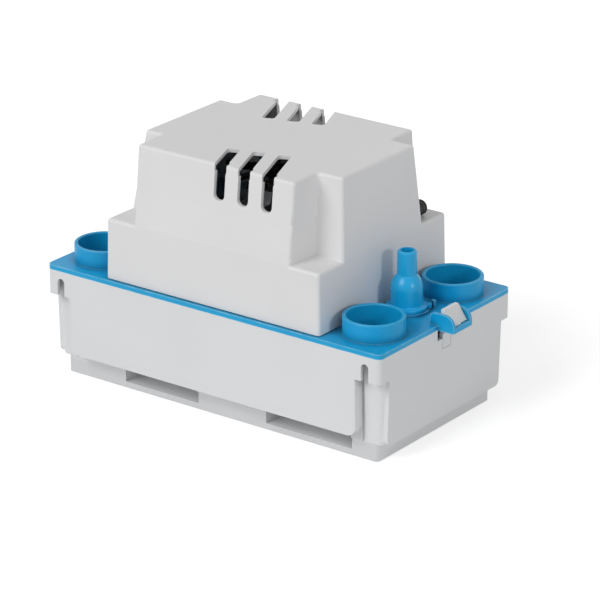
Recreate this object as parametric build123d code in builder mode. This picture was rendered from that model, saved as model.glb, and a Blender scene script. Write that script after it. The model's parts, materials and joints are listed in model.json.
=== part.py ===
"""Tank condensate pump: tank, latched pump head, shaded-pole motor, float switch and check valve.

All sizes are in millimetres. X runs along the pump and +X is the outlet end, -Y is the front
side, Z is up. The origin is on the floor, under the middle of the tank.
"""

import os
from math import asin, cos, degrees, pi, sin

from build123d import *

# ---------------------------------------------------------------- driving dimensions: tank
end_strip = 41.5  # lid beyond the motor cover, at each end
tank_width = 125.0  # outside of the rim band
tank_height = 63.5  # floor to the face that the lid rests on
band_height = 14.5  # skirt that hangs from the rim all round
band_wall = 2.2
rim_flange = 2.4  # thickness of the rim over the skirt
rim_corner = 3.6
tank_wall = 2.4
tank_floor = 2.4
draft = 1.3  # the tank is this much narrower at its foot than at its band, on every side
side_panel_end = 16.5  # end of the tank to the end of the long side panels, flush with the band
panel_bottom = 14.8
panel_corner = 6.0
end_panel_side = 8.9  # side of the tank to the edge of the short side panels
end_panel_corner = 3.0
column_end = 1.8  # recessed corner columns behind the skirt
column_side = 6.3
column_corner = 4.0
foot_height = 10.6
base_end = 7.2
base_side = 8.7
base_corner = 2.0
crease_width = 2.0  # groove between a side panel and its columns
crease_depth = 2.4
pocket_depth = 13.6  # recesses under the long side panels
pocket_floor = 3.6
pocket_left = 49.0  # end of the tank to the recess, at the left
pocket_left_length = 52.0
pocket_right = 24.0  # and at the right
pocket_right_length = 58.0
wall_slot_offset = 10.0  # hanging slots, from the end of the tank to the slot's middle
wall_slot_width = 5.0
wall_slot_top = 4.3  # rim to the slot's round end

# ---------------------------------------------------------------- driving dimensions: snap latch
latch_half_width = 6.7  # hook nose
tongue_half_width = 3.8
tongue_length = 12.5  # rim to the tongue's root
tongue_thickness = 2.2
window_half_width = 8.8
window_depth = 6.3  # rim to the step where the window narrows
hook_rise = 8.9  # lid to the hook's top
hook_stem_gap = 0.6  # lid edge to the hook's stem
hook_stem = 2.0
hook_reach = 8.3  # lid edge to the nose's tip
hook_tip_rise = 0.6  # lid to the nose's tip
nose_thickness = 1.8
nose_inner_drop = 3.06  # hook's top to the inner corner under the nose
crank_drop = 3.0  # rim to the crank that carries the stem
crank_heel = 0.6
crank_toe = 0.8
latch_gap = 0.3
loop_side_gap = 0.4
loop_arm = 1.7
loop_bar = 1.8
loop_bar_height = 3.0
loop_rise = 6.7  # arms above the lid
loop_bend = 6.4
loop_heel = 5.2  # arms reach this far in over the lid
loop_heel_radius = 2.4
lid_notch = 2.0  # room behind the hook when it is pressed in

# ---------------------------------------------------------------- driving dimensions: lid
lid_thickness = 2.8
lip_depth = 6.0
lip_wall = 2.0
lip_clearance = 0.4
inlet_end = 21.8  # end of the tank to the inlets' axes
inlet_side = 25.1
inlet_radius = 15.0
inlet_wall = 2.2
inlet_height = 10.6
inlet_below = 4.0
inlet_wall_below = 1.4
inlet_edge = 0.7

# ---------------------------------------------------------------- driving dimensions: motor cover
cover_gap = 0.4  # shadow line between the cover and the lid
cover_wall = 2.2
coil_room = 11.35  # motor's coil to the outside of the cover's base
cover_side = 2.2  # lid seen beside the cover
shelf_height = 35.6  # lid to the corner shelves
shelf_lean_x = 0.8  # the cover leans in by this much up to its shelves
shelf_lean_y = 0.4
cover_height = 81.6  # lid to the cover's top
top_lean_left = 8.3  # and by this much up to its top
top_lean_right = 4.3
top_lean_y = 5.1
notch_length = 20.1  # corner notches, from the outside of the cover's base
notch_width = 22.7
notch_lean = 3.8
cover_edge = 2.2
edge_margin = 0.4  # an edge fillet is this much smaller than the corners next to it
cover_inner_corner = 1.6
cover_screw_inset_x = 11.0
cover_screw_inset_y = 12.8
cover_boss_radius = 4.4
cover_boss_depth = 18.0
cover_screw_length = 15.0
cover_locator = 2.2  # low rim on the lid inside the cover
screw_hole_gap = 0.3
thread_end = 0.5  # lid left over the blind screw holes

# ---------------------------------------------------------------- driving dimensions: cooling vents
vent_width = 7.4
vent_pitch = 16.0
vent_first = 4.0  # first slot, from the middle of the pump
vent_count = 3
vent_drop = 20.0  # depth of the slot down the wall
vent_run = 27.0  # length of the first slot over the top
vent_run_step = 4.0
vent_slant = 21.8  # the slots turn by this angle on the top
vent_upper_corner = 1.85
vent_lower_corner = 3.33

# ---------------------------------------------------------------- driving dimensions: motor
motor_stand = 19.7  # lid to the underside of the lower bracket
bracket_sheet = 2.0
bracket_width = 16.0
bracket_rise = 6.0
stack_height = 25.0
stack_left = 20.0  # rotor axis to the left end of the stack
stack_half_width = 27.0
stack_corner = 2.0
rotor_bore = 13.4
rotor_gap = 0.5
rotor_overhang = 2.6
pole_wall = 6.6  # rotor's bore to the winding window
window_length = 16.0
window_half = 17.0
leg_length = 16.0  # leg of the stack that carries the coil
motor_screw_y = 22.0
motor_screw_radius = 2.0
motor_screw_head = 3.4
motor_screw_head_height = 2.4
stand_wall = 2.6
bracket_bend = 2.2  # run of the bracket's bends, along Y
screw_clearance = 0.05
press_clearance = 0.02
bobbin_wall = 1.4
bobbin_clearance = 0.15
bobbin_flange = 1.6
winding = 8.6
bobbin_corner = 3.0
tube_corner = 0.6
coil_corner = 4.0
coil_below_flange = 0.8  # the winding stops short of the flanges' edges
shaft_radius = 2.5
shaft_running = 0.05
bearing_radius = 6.0
bearing_length = 5.0
shaft_bottom = 10.0
fan_radius = 28.0
fan_hub_radius = 6.5
fan_hub_height = 8.0
fan_hub_edge = 1.2
fan_gap = 3.0  # bearing to the fan's hub
shaft_over_fan = 1.5
shaft_chamfer = 0.5
bearing_edge = 0.9
rotor_ring = 3.2  # width of the rotor's end rings
rotor_hub = 1.6
fan_blades = 7
fan_blade_width = 11.0
fan_blade_sheet = 1.2
fan_pitch = 38.0

# ---------------------------------------------------------------- driving dimensions: pump
column_radius = 8.5
column_bore = 5.5
column_flange = 16.0
flange_sheet = 3.0
flange_screw_radius = 12.4  # axis to the three flange screws
flange_screw_turn = 30.0
flange_screw_end = 0.7  # lid left over the upper screws
small_screw_radius = 1.5
small_head_radius = 2.9
small_head_height = 1.8
casing_radius = 22.0
casing_wall = 1.8
casing_top = 23.5
casing_bottom = 7.6
casing_hole_gap = 1.0  # round the shaft
plate_sheet = 2.0
suction_eye = 7.0
strainer_posts = 12
strainer_post_radius = 1.5
strainer_bottom = 3.0
impeller_radius = 17.5
impeller_disc = 1.6
impeller_vanes = 6
vane_sheet = 1.4
vane_height = 4.6
impeller_hub = 4.6
impeller_collar = 2.0
vane_bow = 13.1
outlet_offset = 16.0  # volute axis to the outlet's axis
outlet_z = 15.6
outlet_bore = 3.8
outlet_wall = 1.5
outlet_length = 30.0
bush_length = 6.0
hose_wall = 1.8
hose_overlap = 7.0
hose_clearance = 0.1
hose_bend = 16.0
clip_sheet = 0.9
clip_width = 4.5
clip_inset = 1.5  # hose's end to its clip
drain_height = 14.0
drain_width = 5.0

# ---------------------------------------------------------------- driving dimensions: check valve
valve_end = 26.6  # end of the tank to the valve's axis
socket_radius = 12.6
socket_rise = 1.6
socket_bore = 8.4
socket_wall = 2.2
socket_depth = 12.0
valve_fit = 0.1
valve_flange_radius = 11.4
valve_flange = 1.9
valve_radius = 9.0
valve_barrel = 13.4  # lid to the shoulder
valve_taper = 7.7
valve_neck = 13.8
valve_neck_radius = 5.45
valve_neck_bore = 3.7
valve_chamber = 6.3
valve_roof = 1.7  # shoulder to the top of the chamber's wall
valve_flange_edge = 0.7
socket_floor = 2.0
cage_rib = 1.4
cage_reach = 3.0  # axis to the inner edge of the cage's ribs
lug_size = 3.0
lug_overlap = 0.9
valve_seat_height = 3.0
seat_bore = 3.4
ball_radius = 4.9
ball_lift = 4.0
ball_gap = 0.15
valve_gap = 0.2
shoulder_bulge = 0.9
neck_edge = 0.8
lug_angle = 38.0
o_ring_rise = 6.2  # spigot's end to the O-ring
o_ring_squeeze = 0.02
o_ring_room = 0.7
groove_radius = 7.2
stop_radius = 15.3
stop_angle = 53.0
stop_size = 2.0
stop_rise = 4.2

# ---------------------------------------------------------------- driving dimensions: float switch
rod_inset = 9.5  # outside of the cover's base to the float's rod
float_length = 46.0
float_side_gap = 2.8  # float to the recesses' inner walls
float_height = 18.0
float_bottom = 14.0
float_corner = 5.0
float_edge = 2.0
float_travel = 9.0
rod_radius = 2.6
rod_tip_radius = 1.5
guide_running = 0.1
guide_wall = 2.3
guide_rise = 4.0
rod_collar_radius = 4.2
rod_collar = 2.0
rest_gap = 0.3
pivot_gap = 22.0  # motor to the lever's pivot
pivot_rise = 15.7  # lid to the lever's pivot
lever_thickness = 2.0
lever_arm_half_width = 2.6
lever_hub_radius = 2.0
lever_half_width = 11.6
lever_past_rod = 3.5
trip_near = 1.0  # pivot to the near face of the trip plate
trip_plate = 4.0
trip_rise = 5.8
trip_drop = 1.0
lever_pin_radius = 1.0
lever_side_gap = 0.4
switch_length = 28.0
switch_width = 10.0
switch_height = 12.5
switch_gap = 3.0
switch_rise = 4.2  # lid to the switches
button_height = 4.0  # above the lever's pivot
button_radius = 1.2
button_gap = 0.5
button_travel = 1.8
button_seat = 4.0  # length of a button inside its switch
alarm_extra = 0.5
bracket_upright = 2.0
bracket_past_pivot = 8.0
bracket_past_switch = 1.4
switch_screw_radius = 1.1
switch_screw_end = 1.2  # switch screws past the bracket
switch_screw_inset = 3.8

# ---------------------------------------------------------------- driving dimensions: wiring
gland_inset = 10.0  # outside of the cover's base to the gland's axis
gland_rise = 4.6  # shelf to the gland's axis
gland_radius = 4.6
gland_bore = 2.8
gland_length = 11.0
gland_groove = 0.9
gland_flange = 1.6
gland_edge = 0.8
terminal_x = 38.0
terminal_side = 13.8  # outside of the cover's base to the middle of the block
terminal_length = 27.0
terminal_width = 13.0
terminal_height = 16.0
terminal_ways = 3
terminal_corner = 1.0
wire_hole_radius = 2.3
terminal_screw_radius = 2.7

# ---------------------------------------------------------------- levels and places worked out
window_near = rotor_bore + pole_wall
window_far = window_near + window_length
leg_right = window_far + leg_length
tube_grow = bobbin_clearance + bobbin_wall
cover_base_half_length = leg_right + tube_grow + winding + coil_room
half_length = cover_base_half_length + end_strip
half_width = tank_width / 2
cover_base_half_width = half_width - cover_side
panel_half_length = half_length - side_panel_end
end_panel_half_width = half_width - end_panel_side
column_half_length = half_length - column_end
column_half_width = half_width - column_side
base_half_length = half_length - base_end
base_half_width = half_width - base_side
band_bottom = tank_height - band_height
tongue_root = tank_height - tongue_length
window_step = tank_height - window_depth
lid_top = tank_height + lid_thickness
cover_bottom = lid_top + cover_gap
shelf_z = lid_top + shelf_height
cover_top = lid_top + cover_height
shelf_half_length = cover_base_half_length - shelf_lean_x
shelf_half_width = cover_base_half_width - shelf_lean_y
cover_top_left = cover_base_half_length - top_lean_left
cover_top_right = cover_base_half_length - top_lean_right
cover_top_half_width = cover_base_half_width - top_lean_y
notch_x = cover_base_half_length - notch_length
notch_y_low = cover_base_half_width - notch_width
notch_y_top = notch_y_low - notch_lean
cover_screw_x = cover_base_half_length - cover_screw_inset_x
cover_screw_y = cover_base_half_width - cover_screw_inset_y
inlet_x = half_length - inlet_end
inlet_y = half_width - inlet_side
collar_radius = inlet_radius + inlet_wall
bracket_z = lid_top + motor_stand  # underside of the lower bracket's feet
stack_bottom = bracket_z + bracket_sheet
stack_top = stack_bottom + stack_height
lower_bridge = bracket_z - bracket_rise
upper_bridge = stack_top + bracket_sheet + bracket_rise
fan_bottom = upper_bridge + bracket_sheet + fan_gap
shaft_top = fan_bottom + fan_hub_height + shaft_over_fan
valve_x = half_length - valve_end
valve_shoulder = lid_top + valve_barrel
valve_neck_start = valve_shoulder + valve_taper
valve_top = valve_neck_start + valve_neck
valve_chamber_top = valve_shoulder - valve_roof
outlet_turn = degrees(asin(outlet_offset / valve_x))
socket_bottom = tank_height - socket_depth
nipple_radius = outlet_bore + outlet_wall
hose_bore = nipple_radius + hose_clearance
float_x = cover_base_half_length - rod_inset  # the float hangs this far left of the motor's axis
float_half_width = base_half_width - pocket_depth - tank_wall - float_side_gap
lever_pivot_x = -stack_left - pivot_gap
lever_pivot_z = lid_top + pivot_rise
lever_left = float_x + lever_pivot_x + lever_past_rod
rod_top = lever_pivot_z - lever_thickness / 2 - rest_gap
guide_bottom = float_bottom + float_height + float_travel + rest_gap
trip_face = lever_pivot_x + trip_near + trip_plate
switch_left = trip_face + button_gap + button_travel + rest_gap
switch_bottom = lid_top + switch_rise
gland_x = cover_base_half_length - gland_inset
gland_z = shelf_z + gland_rise
terminal_y = cover_base_half_width - terminal_side
hook_top = lid_top + hook_rise
hook_tip = lid_top + hook_tip_rise
loop_half_width = latch_half_width + loop_side_gap + loop_arm
hook_tip_x = half_length + hook_reach
bar_inner = hook_tip_x + latch_gap
bar_outer = bar_inner + loop_bar


def at(z):
    """Level plane at height z."""
    return Plane.XY.offset(z)


def disc(x, y, z, radius, height, mode=Mode.ADD):
    """Upright cylinder that stands on height z."""
    with BuildSketch(at(z)) as profile:
        with Locations((x, y)):
            Circle(radius)
    extrude(profile.sketch, amount=height, mode=mode)


def block(low, high, mode=Mode.ADD):
    """Box between two opposite corners."""
    size = [b - a for a, b in zip(low, high)]
    middle = [(a + b) / 2 for a, b in zip(low, high)]
    with Locations(tuple(middle)):
        Box(*size, mode=mode)


def slab(x_half, y_half, low, high, corner=0.0, mode=Mode.ADD):
    """Level plate about the middle of the pump, with round corners if asked."""
    with BuildSketch(at(low)) as profile:
        if corner > 0:
            RectangleRounded(2 * x_half, 2 * y_half, corner)
        else:
            Rectangle(2 * x_half, 2 * y_half)
    extrude(profile.sketch, amount=high - low, mode=mode)


def finish(builder, name):
    """Label a finished piece and write it."""
    builder.part.label = name
    export_step(builder.part, f"parts/{name}.step")


os.makedirs("parts", exist_ok=True)


# ================================================================ tank
def hanging_panel(plane, half, low, high, corner, depth):
    """Upright panel with its two lower corners rounded, extruded across the tank."""
    across = half - corner
    with BuildSketch(plane) as profile:
        with BuildLine():
            Line((-half, high), (half, high))
            Line((half, high), (half, low + corner))
            RadiusArc((half, low + corner), (across, low), corner)
            Line((across, low), (-across, low))
            RadiusArc((-across, low), (-half, low + corner), corner)
            Line((-half, low + corner), (-half, high))
        make_face()
    extrude(profile.sketch, amount=depth / 2, both=True)


def side_boxes(x_from, x_to, y_near, y_far, low, high):
    """Remove the same box from the front and the back of the tank."""
    for side in (-1, 1):
        edges = sorted((side * y_near, side * y_far))
        block((x_from, edges[0], low), (x_to, edges[1], high), mode=Mode.SUBTRACT)


def leaning_form(x_half, y_half, low, corner):
    """Upright form that is full size from the band upwards and narrower by the draft at its foot."""
    with BuildSketch(at(low)) as foot:
        RectangleRounded(2 * (x_half - draft), 2 * (y_half - draft), corner)
    with BuildSketch(at(band_bottom)) as waist:
        RectangleRounded(2 * x_half, 2 * y_half, corner)
    with BuildPart() as form:
        loft([foot.sketch, waist.sketch])
        extrude(waist.sketch, amount=band_height)
    return form.part


def tank_body(inset, floor):
    """Tank form under its rim; with an inset it is the hollow inside that form."""
    envelope = leaning_form(half_length - inset, half_width - inset, floor, rim_corner)
    columns = leaning_form(column_half_length - inset, column_half_width - inset, foot_height + inset,
                           column_corner - inset)
    with BuildPart() as form:
        hanging_panel(Plane.XZ, panel_half_length - inset, panel_bottom + inset, tank_height, panel_corner,
                      tank_width)
        hanging_panel(Plane.YZ, end_panel_half_width - inset, foot_height + inset, tank_height,
                      end_panel_corner, 2 * half_length)
        add(envelope, mode=Mode.INTERSECT)
        slab(base_half_length - inset, base_half_width - inset, floor, tank_height, base_corner)
        add(columns)
        # groove between each side panel and its columns
        crease_x = panel_half_length + crease_width + inset
        crease_y = column_half_width - crease_depth - inset
        for side in (-1, 1):
            ends = sorted((side * (panel_half_length - inset), side * crease_x))
            side_boxes(ends[0], ends[1], crease_y, column_half_width + crease_width,
                       foot_height, band_bottom + rim_flange + inset)
    return form.part


tank_form = tank_body(0, 0)
tank_room = tank_body(tank_wall, tank_floor)
pockets = (
    (pocket_left - half_length, pocket_left - half_length + pocket_left_length),
    (half_length - pocket_right - pocket_right_length, half_length - pocket_right),
)

with BuildPart() as tank_hollow:
    add(tank_room)
    pocket_back = base_half_width - pocket_depth
    for x_from, x_to in pockets:
        side_boxes(x_from - tank_wall, x_to + tank_wall, pocket_back - tank_wall, tank_width,
                   0, panel_bottom + tank_wall)

with BuildPart() as tank:
    slab(half_length, half_width, band_bottom, tank_height, rim_corner)
    slab(half_length - band_wall, half_width - band_wall, band_bottom, tank_height - rim_flange,
         rim_corner - band_wall, mode=Mode.SUBTRACT)
    add(tank_form)
    for x_from, x_to in pockets:
        side_boxes(x_from, x_to, pocket_back, tank_width, pocket_floor, panel_bottom)
    add(tank_hollow.part, mode=Mode.SUBTRACT)
    # hanging slots through the skirt, near both ends of the long sides
    slot_end = tank_height - wall_slot_top - wall_slot_width / 2
    slot_x = half_length - wall_slot_offset
    for side in (-1, 1):
        outside = Plane((0, side * half_width, 0), x_dir=(1, 0, 0), z_dir=(0, -side, 0))
        with BuildSketch(outside) as slots:
            with Locations((-slot_x, side * slot_end), (slot_x, side * slot_end)):
                Circle(wall_slot_width / 2)
            slot_middle = (slot_end + band_bottom) / 2
            with Locations((-slot_x, side * slot_middle), (slot_x, side * slot_middle)):
                Rectangle(wall_slot_width, slot_end - band_bottom)
        extrude(slots.sketch, amount=band_wall + 1, mode=Mode.SUBTRACT)
    # window in the outlet end, round the hook's tongue
    wall_inside = half_length - tank_wall - 1
    narrow = tongue_half_width + rest_gap
    block((wall_inside, -window_half_width, window_step),
          (half_length + 1, window_half_width, tank_height + 1), mode=Mode.SUBTRACT)
    block((wall_inside, -narrow, tongue_root), (half_length + 1, narrow, window_step), mode=Mode.SUBTRACT)
finish(tank, "tank")


# ================================================================ hook of the snap latch
with BuildPart() as latch_hook:
    stem_inner = half_length + hook_stem_gap
    stem_outer = stem_inner + hook_stem
    tongue_inner = half_length - tongue_thickness
    crank_low = tank_height - crank_drop
    with BuildSketch(Plane.XZ) as hook_profile:
        with BuildLine():
            Polyline(
                (tongue_inner, tongue_root + rest_gap),
                (tongue_inner, crank_low),
                (stem_inner, crank_low + hook_stem),
                (stem_inner, hook_top),
                (stem_outer, hook_top),
                (hook_tip_x, hook_tip),
                (hook_tip_x - nose_thickness, hook_tip),
                (stem_outer, hook_top - nose_inner_drop),
                (stem_outer, crank_low + hook_stem - crank_toe),
                (half_length, crank_low - crank_heel),
                (half_length, tongue_root + rest_gap),
                close=True,
            )
        make_face()
    extrude(hook_profile.sketch, amount=latch_half_width, both=True)
    for side in (-1, 1):
        edges = sorted((side * tongue_half_width, side * (latch_half_width + 1)))
        block((tongue_inner - 1, edges[0], tongue_root), (hook_tip_x + 1, edges[1], tank_height + 1),
              mode=Mode.SUBTRACT)
finish(latch_hook, "latch_hook")


# ================================================================ lid
def latch_arm(y_inner, y_outer):
    """One arm of the latch loop: a rib that starts on the lid and bends down at its end."""
    low, high = sorted((y_inner, y_outer))
    arm_top = lid_top + loop_rise
    bend_x = bar_outer - loop_bend
    heel_x = half_length - loop_heel
    with BuildSketch(Plane.XZ.offset(-high)) as profile:
        with BuildLine():
            Line((heel_x, tank_height), (heel_x, arm_top - loop_heel_radius))
            RadiusArc((heel_x, arm_top - loop_heel_radius), (heel_x + loop_heel_radius, arm_top),
                      loop_heel_radius)
            Line((heel_x + loop_heel_radius, arm_top), (bend_x, arm_top))
            RadiusArc((bend_x, arm_top), (bar_outer, arm_top - loop_bend), loop_bend)
            Line((bar_outer, arm_top - loop_bend), (bar_outer, tank_height))
            Line((bar_outer, tank_height), (heel_x, tank_height))
        make_face()
    extrude(profile.sketch, amount=high - low)


def at_inlets(radius, low, high, mode=Mode.ADD):
    """The same upright cylinder at all four inlets."""
    with BuildSketch(at(low)) as profile:
        with GridLocations(2 * inlet_x, 2 * inlet_y, 2, 2):
            Circle(radius)
    extrude(profile.sketch, amount=high - low, mode=mode)


with BuildPart() as lid:
    slab(half_length, half_width, tank_height, lid_top, rim_corner)
    # notch that the hook is pressed into
    block((half_length - lid_notch, -latch_half_width - loop_side_gap, tank_height - 1),
          (half_length + 1, latch_half_width + loop_side_gap, lid_top + 1), mode=Mode.SUBTRACT)
    for side in (-1, 1):
        latch_arm(side * (loop_half_width - loop_arm), side * loop_half_width)
    block((bar_inner, -loop_half_width, tank_height),
          (bar_outer, loop_half_width, tank_height + loop_bar_height))
    # lip that centres the lid in the tank's mouth
    lip_x = column_half_length - tank_wall - lip_clearance
    lip_y = column_half_width - tank_wall - lip_clearance
    slab(lip_x, lip_y, tank_height - lip_depth, tank_height, column_corner - tank_wall)
    slab(lip_x - lip_wall, lip_y - lip_wall, tank_height - lip_depth, tank_height, mode=Mode.SUBTRACT)
    # low rim that centres the motor cover
    locator_x = cover_base_half_length - cover_wall - lip_clearance
    locator_y = cover_base_half_width - cover_wall - lip_clearance
    slab(locator_x, locator_y, lid_top, lid_top + cover_locator, cover_inner_corner)
    slab(locator_x - lip_wall, locator_y - lip_wall, lid_top, lid_top + cover_locator,
         mode=Mode.SUBTRACT)
    # stands for the motor
    for side in (-1, 1):
        disc(0, side * motor_screw_y, lid_top, motor_screw_radius + stand_wall, motor_stand)
    # guide for the float's rod and socket for the check valve
    disc(-float_x, 0, guide_bottom, rod_radius + guide_running + guide_wall,
         lid_top + guide_rise - guide_bottom)
    disc(valve_x, 0, socket_bottom, socket_bore + socket_wall, tank_height - socket_bottom)
    disc(valve_x, 0, lid_top, socket_radius, socket_rise)
    disc(valve_x, 0, socket_bottom - hose_overlap - 1, nipple_radius, hose_overlap + 1)
    with Locations((valve_x + stop_radius * cos(stop_angle * pi / 180),
                    stop_radius * sin(stop_angle * pi / 180), lid_top + stop_rise / 2)):
        Box(stop_size, stop_size, stop_rise)
    # pipe collars at the four corners
    at_inlets(collar_radius, tank_height, lid_top + inlet_height)
    at_inlets(inlet_radius + inlet_wall_below, tank_height - inlet_below, tank_height)
    at_inlets(inlet_radius, tank_height - lip_depth - 1, lid_top + inlet_height, mode=Mode.SUBTRACT)
    rim_edges = lid.edges().filter_by(GeomType.CIRCLE).filter_by(
        lambda edge: abs(edge.center().Z - lid_top - inlet_height) < 0.01)
    fillet(rim_edges, inlet_edge)
    # holes
    disc(0, 0, tank_height - 1, column_bore, lid_thickness + 2, mode=Mode.SUBTRACT)
    disc(-float_x, 0, guide_bottom, rod_radius + guide_running,
         lid_top + guide_rise - guide_bottom, mode=Mode.SUBTRACT)
    disc(valve_x, 0, socket_bottom + socket_floor, socket_bore,
         socket_depth + lid_thickness + socket_rise, mode=Mode.SUBTRACT)
    disc(valve_x, 0, socket_bottom - hose_overlap - 1, outlet_bore, hose_overlap + socket_floor + 2,
         mode=Mode.SUBTRACT)
    for side in (-1, 1):
        disc(0, side * motor_screw_y, tank_height + 1, motor_screw_radius + screw_clearance,
             motor_stand + lid_thickness, mode=Mode.SUBTRACT)
    with BuildSketch(at(tank_height)) as screw_holes:
        with GridLocations(2 * cover_screw_x, 2 * cover_screw_y, 2, 2):
            Circle(small_screw_radius + screw_hole_gap)
    extrude(screw_holes.sketch, amount=lid_thickness, mode=Mode.SUBTRACT)
    with BuildSketch(at(tank_height)) as flange_holes:
        with PolarLocations(flange_screw_radius, 3, start_angle=flange_screw_turn):
            Circle(small_screw_radius + screw_clearance)
    extrude(flange_holes.sketch, amount=lid_thickness - thread_end, mode=Mode.SUBTRACT)
finish(lid, "lid")


# ================================================================ motor cover
def cross_section(z, wing_left, wing_right, block_half, wing_half, inset, corner):
    """Level section of the cover over its shelves: a plate with its four corners notched."""
    with BuildSketch(at(z)) as section:
        Rectangle(2 * (notch_x - inset), 2 * (block_half - inset))
        with Locations(((wing_right - wing_left) / 2, 0)):
            Rectangle(wing_left + wing_right - 2 * inset, 2 * (wing_half - inset))
        if corner > 0:
            fillet(section.vertices(), corner)
    return section.sketch


def notched_body(inset, corner):
    """Full-height body of the cover, notched at its corners; it leans in above the shelves."""
    base = cross_section(cover_bottom, cover_base_half_length, cover_base_half_length,
                         cover_base_half_width, notch_y_low, inset, corner)
    shelf = cross_section(shelf_z, shelf_half_length, shelf_half_length, shelf_half_width,
                          notch_y_low, inset, corner)
    top = cross_section(cover_top - inset, cover_top_left, cover_top_right, cover_top_half_width,
                        notch_y_top, inset, corner)
    with BuildPart() as body:
        loft([base, shelf])
        loft([shelf, top])
    return body.part


def corner_body(inset, corner):
    """Lower body of the cover, with the four shelves at its corners."""
    with BuildPart() as body:
        with BuildSketch(at(cover_bottom)) as base:
            Rectangle(2 * (cover_base_half_length - inset), 2 * (cover_base_half_width - inset))
            if corner > 0:
                fillet(base.vertices(), corner)
        with BuildSketch(at(shelf_z - inset)) as shelf:
            Rectangle(2 * (shelf_half_length - inset), 2 * (shelf_half_width - inset))
            if corner > 0:
                fillet(shelf.vertices(), corner)
        loft([base.sketch, shelf.sketch])
        if corner > 0:
            fillet(body.faces().sort_by(Axis.Z)[-1].edges(), corner - edge_margin)
    return body.part


def vent_slots(turn):
    """Slots that run down one long wall and slant over the top; turned half round for the back."""
    with BuildPart() as slots:
        edge_y = -cover_top_half_width
        for number in range(vent_count):
            edge_x = vent_first + number * vent_pitch
            run = vent_run + number * vent_run_step
            with BuildSketch(at(cover_top - 2 * cover_wall)) as over:
                with Locations(Location((edge_x, edge_y, 0), (0, 0, vent_slant))):
                    with Locations((0, run / 2 - vent_width)):
                        Rectangle(vent_width, run + 2 * vent_width)
                fillet(over.vertices().sort_by(Axis.Y)[-2:], vent_upper_corner)
            extrude(over.sketch, amount=3 * cover_wall)
            with BuildSketch(Plane.XZ.offset(cover_base_half_width + 1)) as down:
                with Locations((edge_x, cover_top - vent_drop / 2 + cover_wall)):
                    Rectangle(vent_width, vent_drop + 2 * cover_wall)
                fillet(down.vertices().sort_by(Axis.Y)[:2], vent_lower_corner)
            extrude(down.sketch, amount=-(cover_base_half_width - cover_top_half_width + 3 * cover_wall))
    return slots.part.rotate(Axis.Z, turn)


cover_upper = notched_body(0, cover_edge)
cover_lower = corner_body(0, cover_edge)
cover_upper_room = notched_body(cover_wall, 0)
cover_lower_room = corner_body(cover_wall, 0)
front_vents = vent_slots(0)
back_vents = vent_slots(180)

with BuildPart() as motor_cover:
    add(cover_upper)
    fillet(motor_cover.faces().sort_by(Axis.Z)[-1].edges(), cover_edge - edge_margin)
    add(cover_lower)
    add(cover_upper_room, mode=Mode.SUBTRACT)
    add(cover_lower_room, mode=Mode.SUBTRACT)
    add(front_vents, mode=Mode.SUBTRACT)
    add(back_vents, mode=Mode.SUBTRACT)
    # bosses for the screws that come up through the lid
    boss_top = shelf_z - cover_wall / 2
    with BuildSketch(at(cover_bottom)) as bosses:
        with GridLocations(2 * cover_screw_x, 2 * cover_screw_y, 2, 2):
            Circle(cover_boss_radius)
    extrude(bosses.sketch, amount=boss_top - cover_bottom)
    with BuildSketch(at(cover_bottom)) as cores:
        with GridLocations(2 * cover_screw_x, 2 * cover_screw_y, 2, 2):
            Circle(small_screw_radius + screw_clearance)
    extrude(cores.sketch, amount=cover_boss_depth, mode=Mode.SUBTRACT)
    with BuildSketch(Plane.XZ.offset(-notch_y_low - 1)) as cable_hole:
        with Locations((gland_x, gland_z)):
            Circle(gland_radius - gland_groove)
    extrude(cable_hole.sketch, amount=cover_wall * 3, mode=Mode.SUBTRACT)
finish(motor_cover, "motor_cover")

with BuildPart() as cover_screws:
    with BuildSketch(at(tank_height - small_head_height)) as heads:
        with GridLocations(2 * cover_screw_x, 2 * cover_screw_y, 2, 2):
            Circle(small_head_radius)
    extrude(heads.sketch, amount=small_head_height)
    with BuildSketch(at(tank_height)) as shanks:
        with GridLocations(2 * cover_screw_x, 2 * cover_screw_y, 2, 2):
            Circle(small_screw_radius)
    extrude(shanks.sketch, amount=cover_screw_length)
finish(cover_screws, "cover_screws")

with BuildPart() as cable_gland:
    wall_lean = (notch_y_low - notch_y_top) / (cover_top - shelf_z)
    wall_y = notch_y_low - wall_lean * (gland_z - shelf_z)
    seat_gap = rest_gap / 2 + wall_lean * gland_radius
    outer_y = wall_y + seat_gap
    inner_y = wall_y - cover_wall - seat_gap
    gland_ends = (
        (inner_y - gland_flange, inner_y, gland_radius),
        (inner_y, outer_y, gland_radius - gland_groove - rest_gap),
        (outer_y, outer_y + gland_length, gland_radius),
    )
    for y_from, y_to, radius in gland_ends:
        with BuildSketch(Plane.XZ.offset(-y_to)) as ring:
            with Locations((gland_x, gland_z)):
                Circle(radius)
        extrude(ring.sketch, amount=y_to - y_from)
    with BuildSketch(Plane.XZ.offset(-(outer_y + gland_length))) as bore:
        with Locations((gland_x, gland_z)):
            Circle(gland_bore)
    extrude(bore.sketch, amount=outer_y + gland_length - inner_y + gland_flange, mode=Mode.SUBTRACT)
    fillet(cable_gland.edges().group_by(Axis.Y)[-1].sort_by(SortBy.RADIUS)[-1], gland_edge)
finish(cable_gland, "cable_gland")


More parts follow.
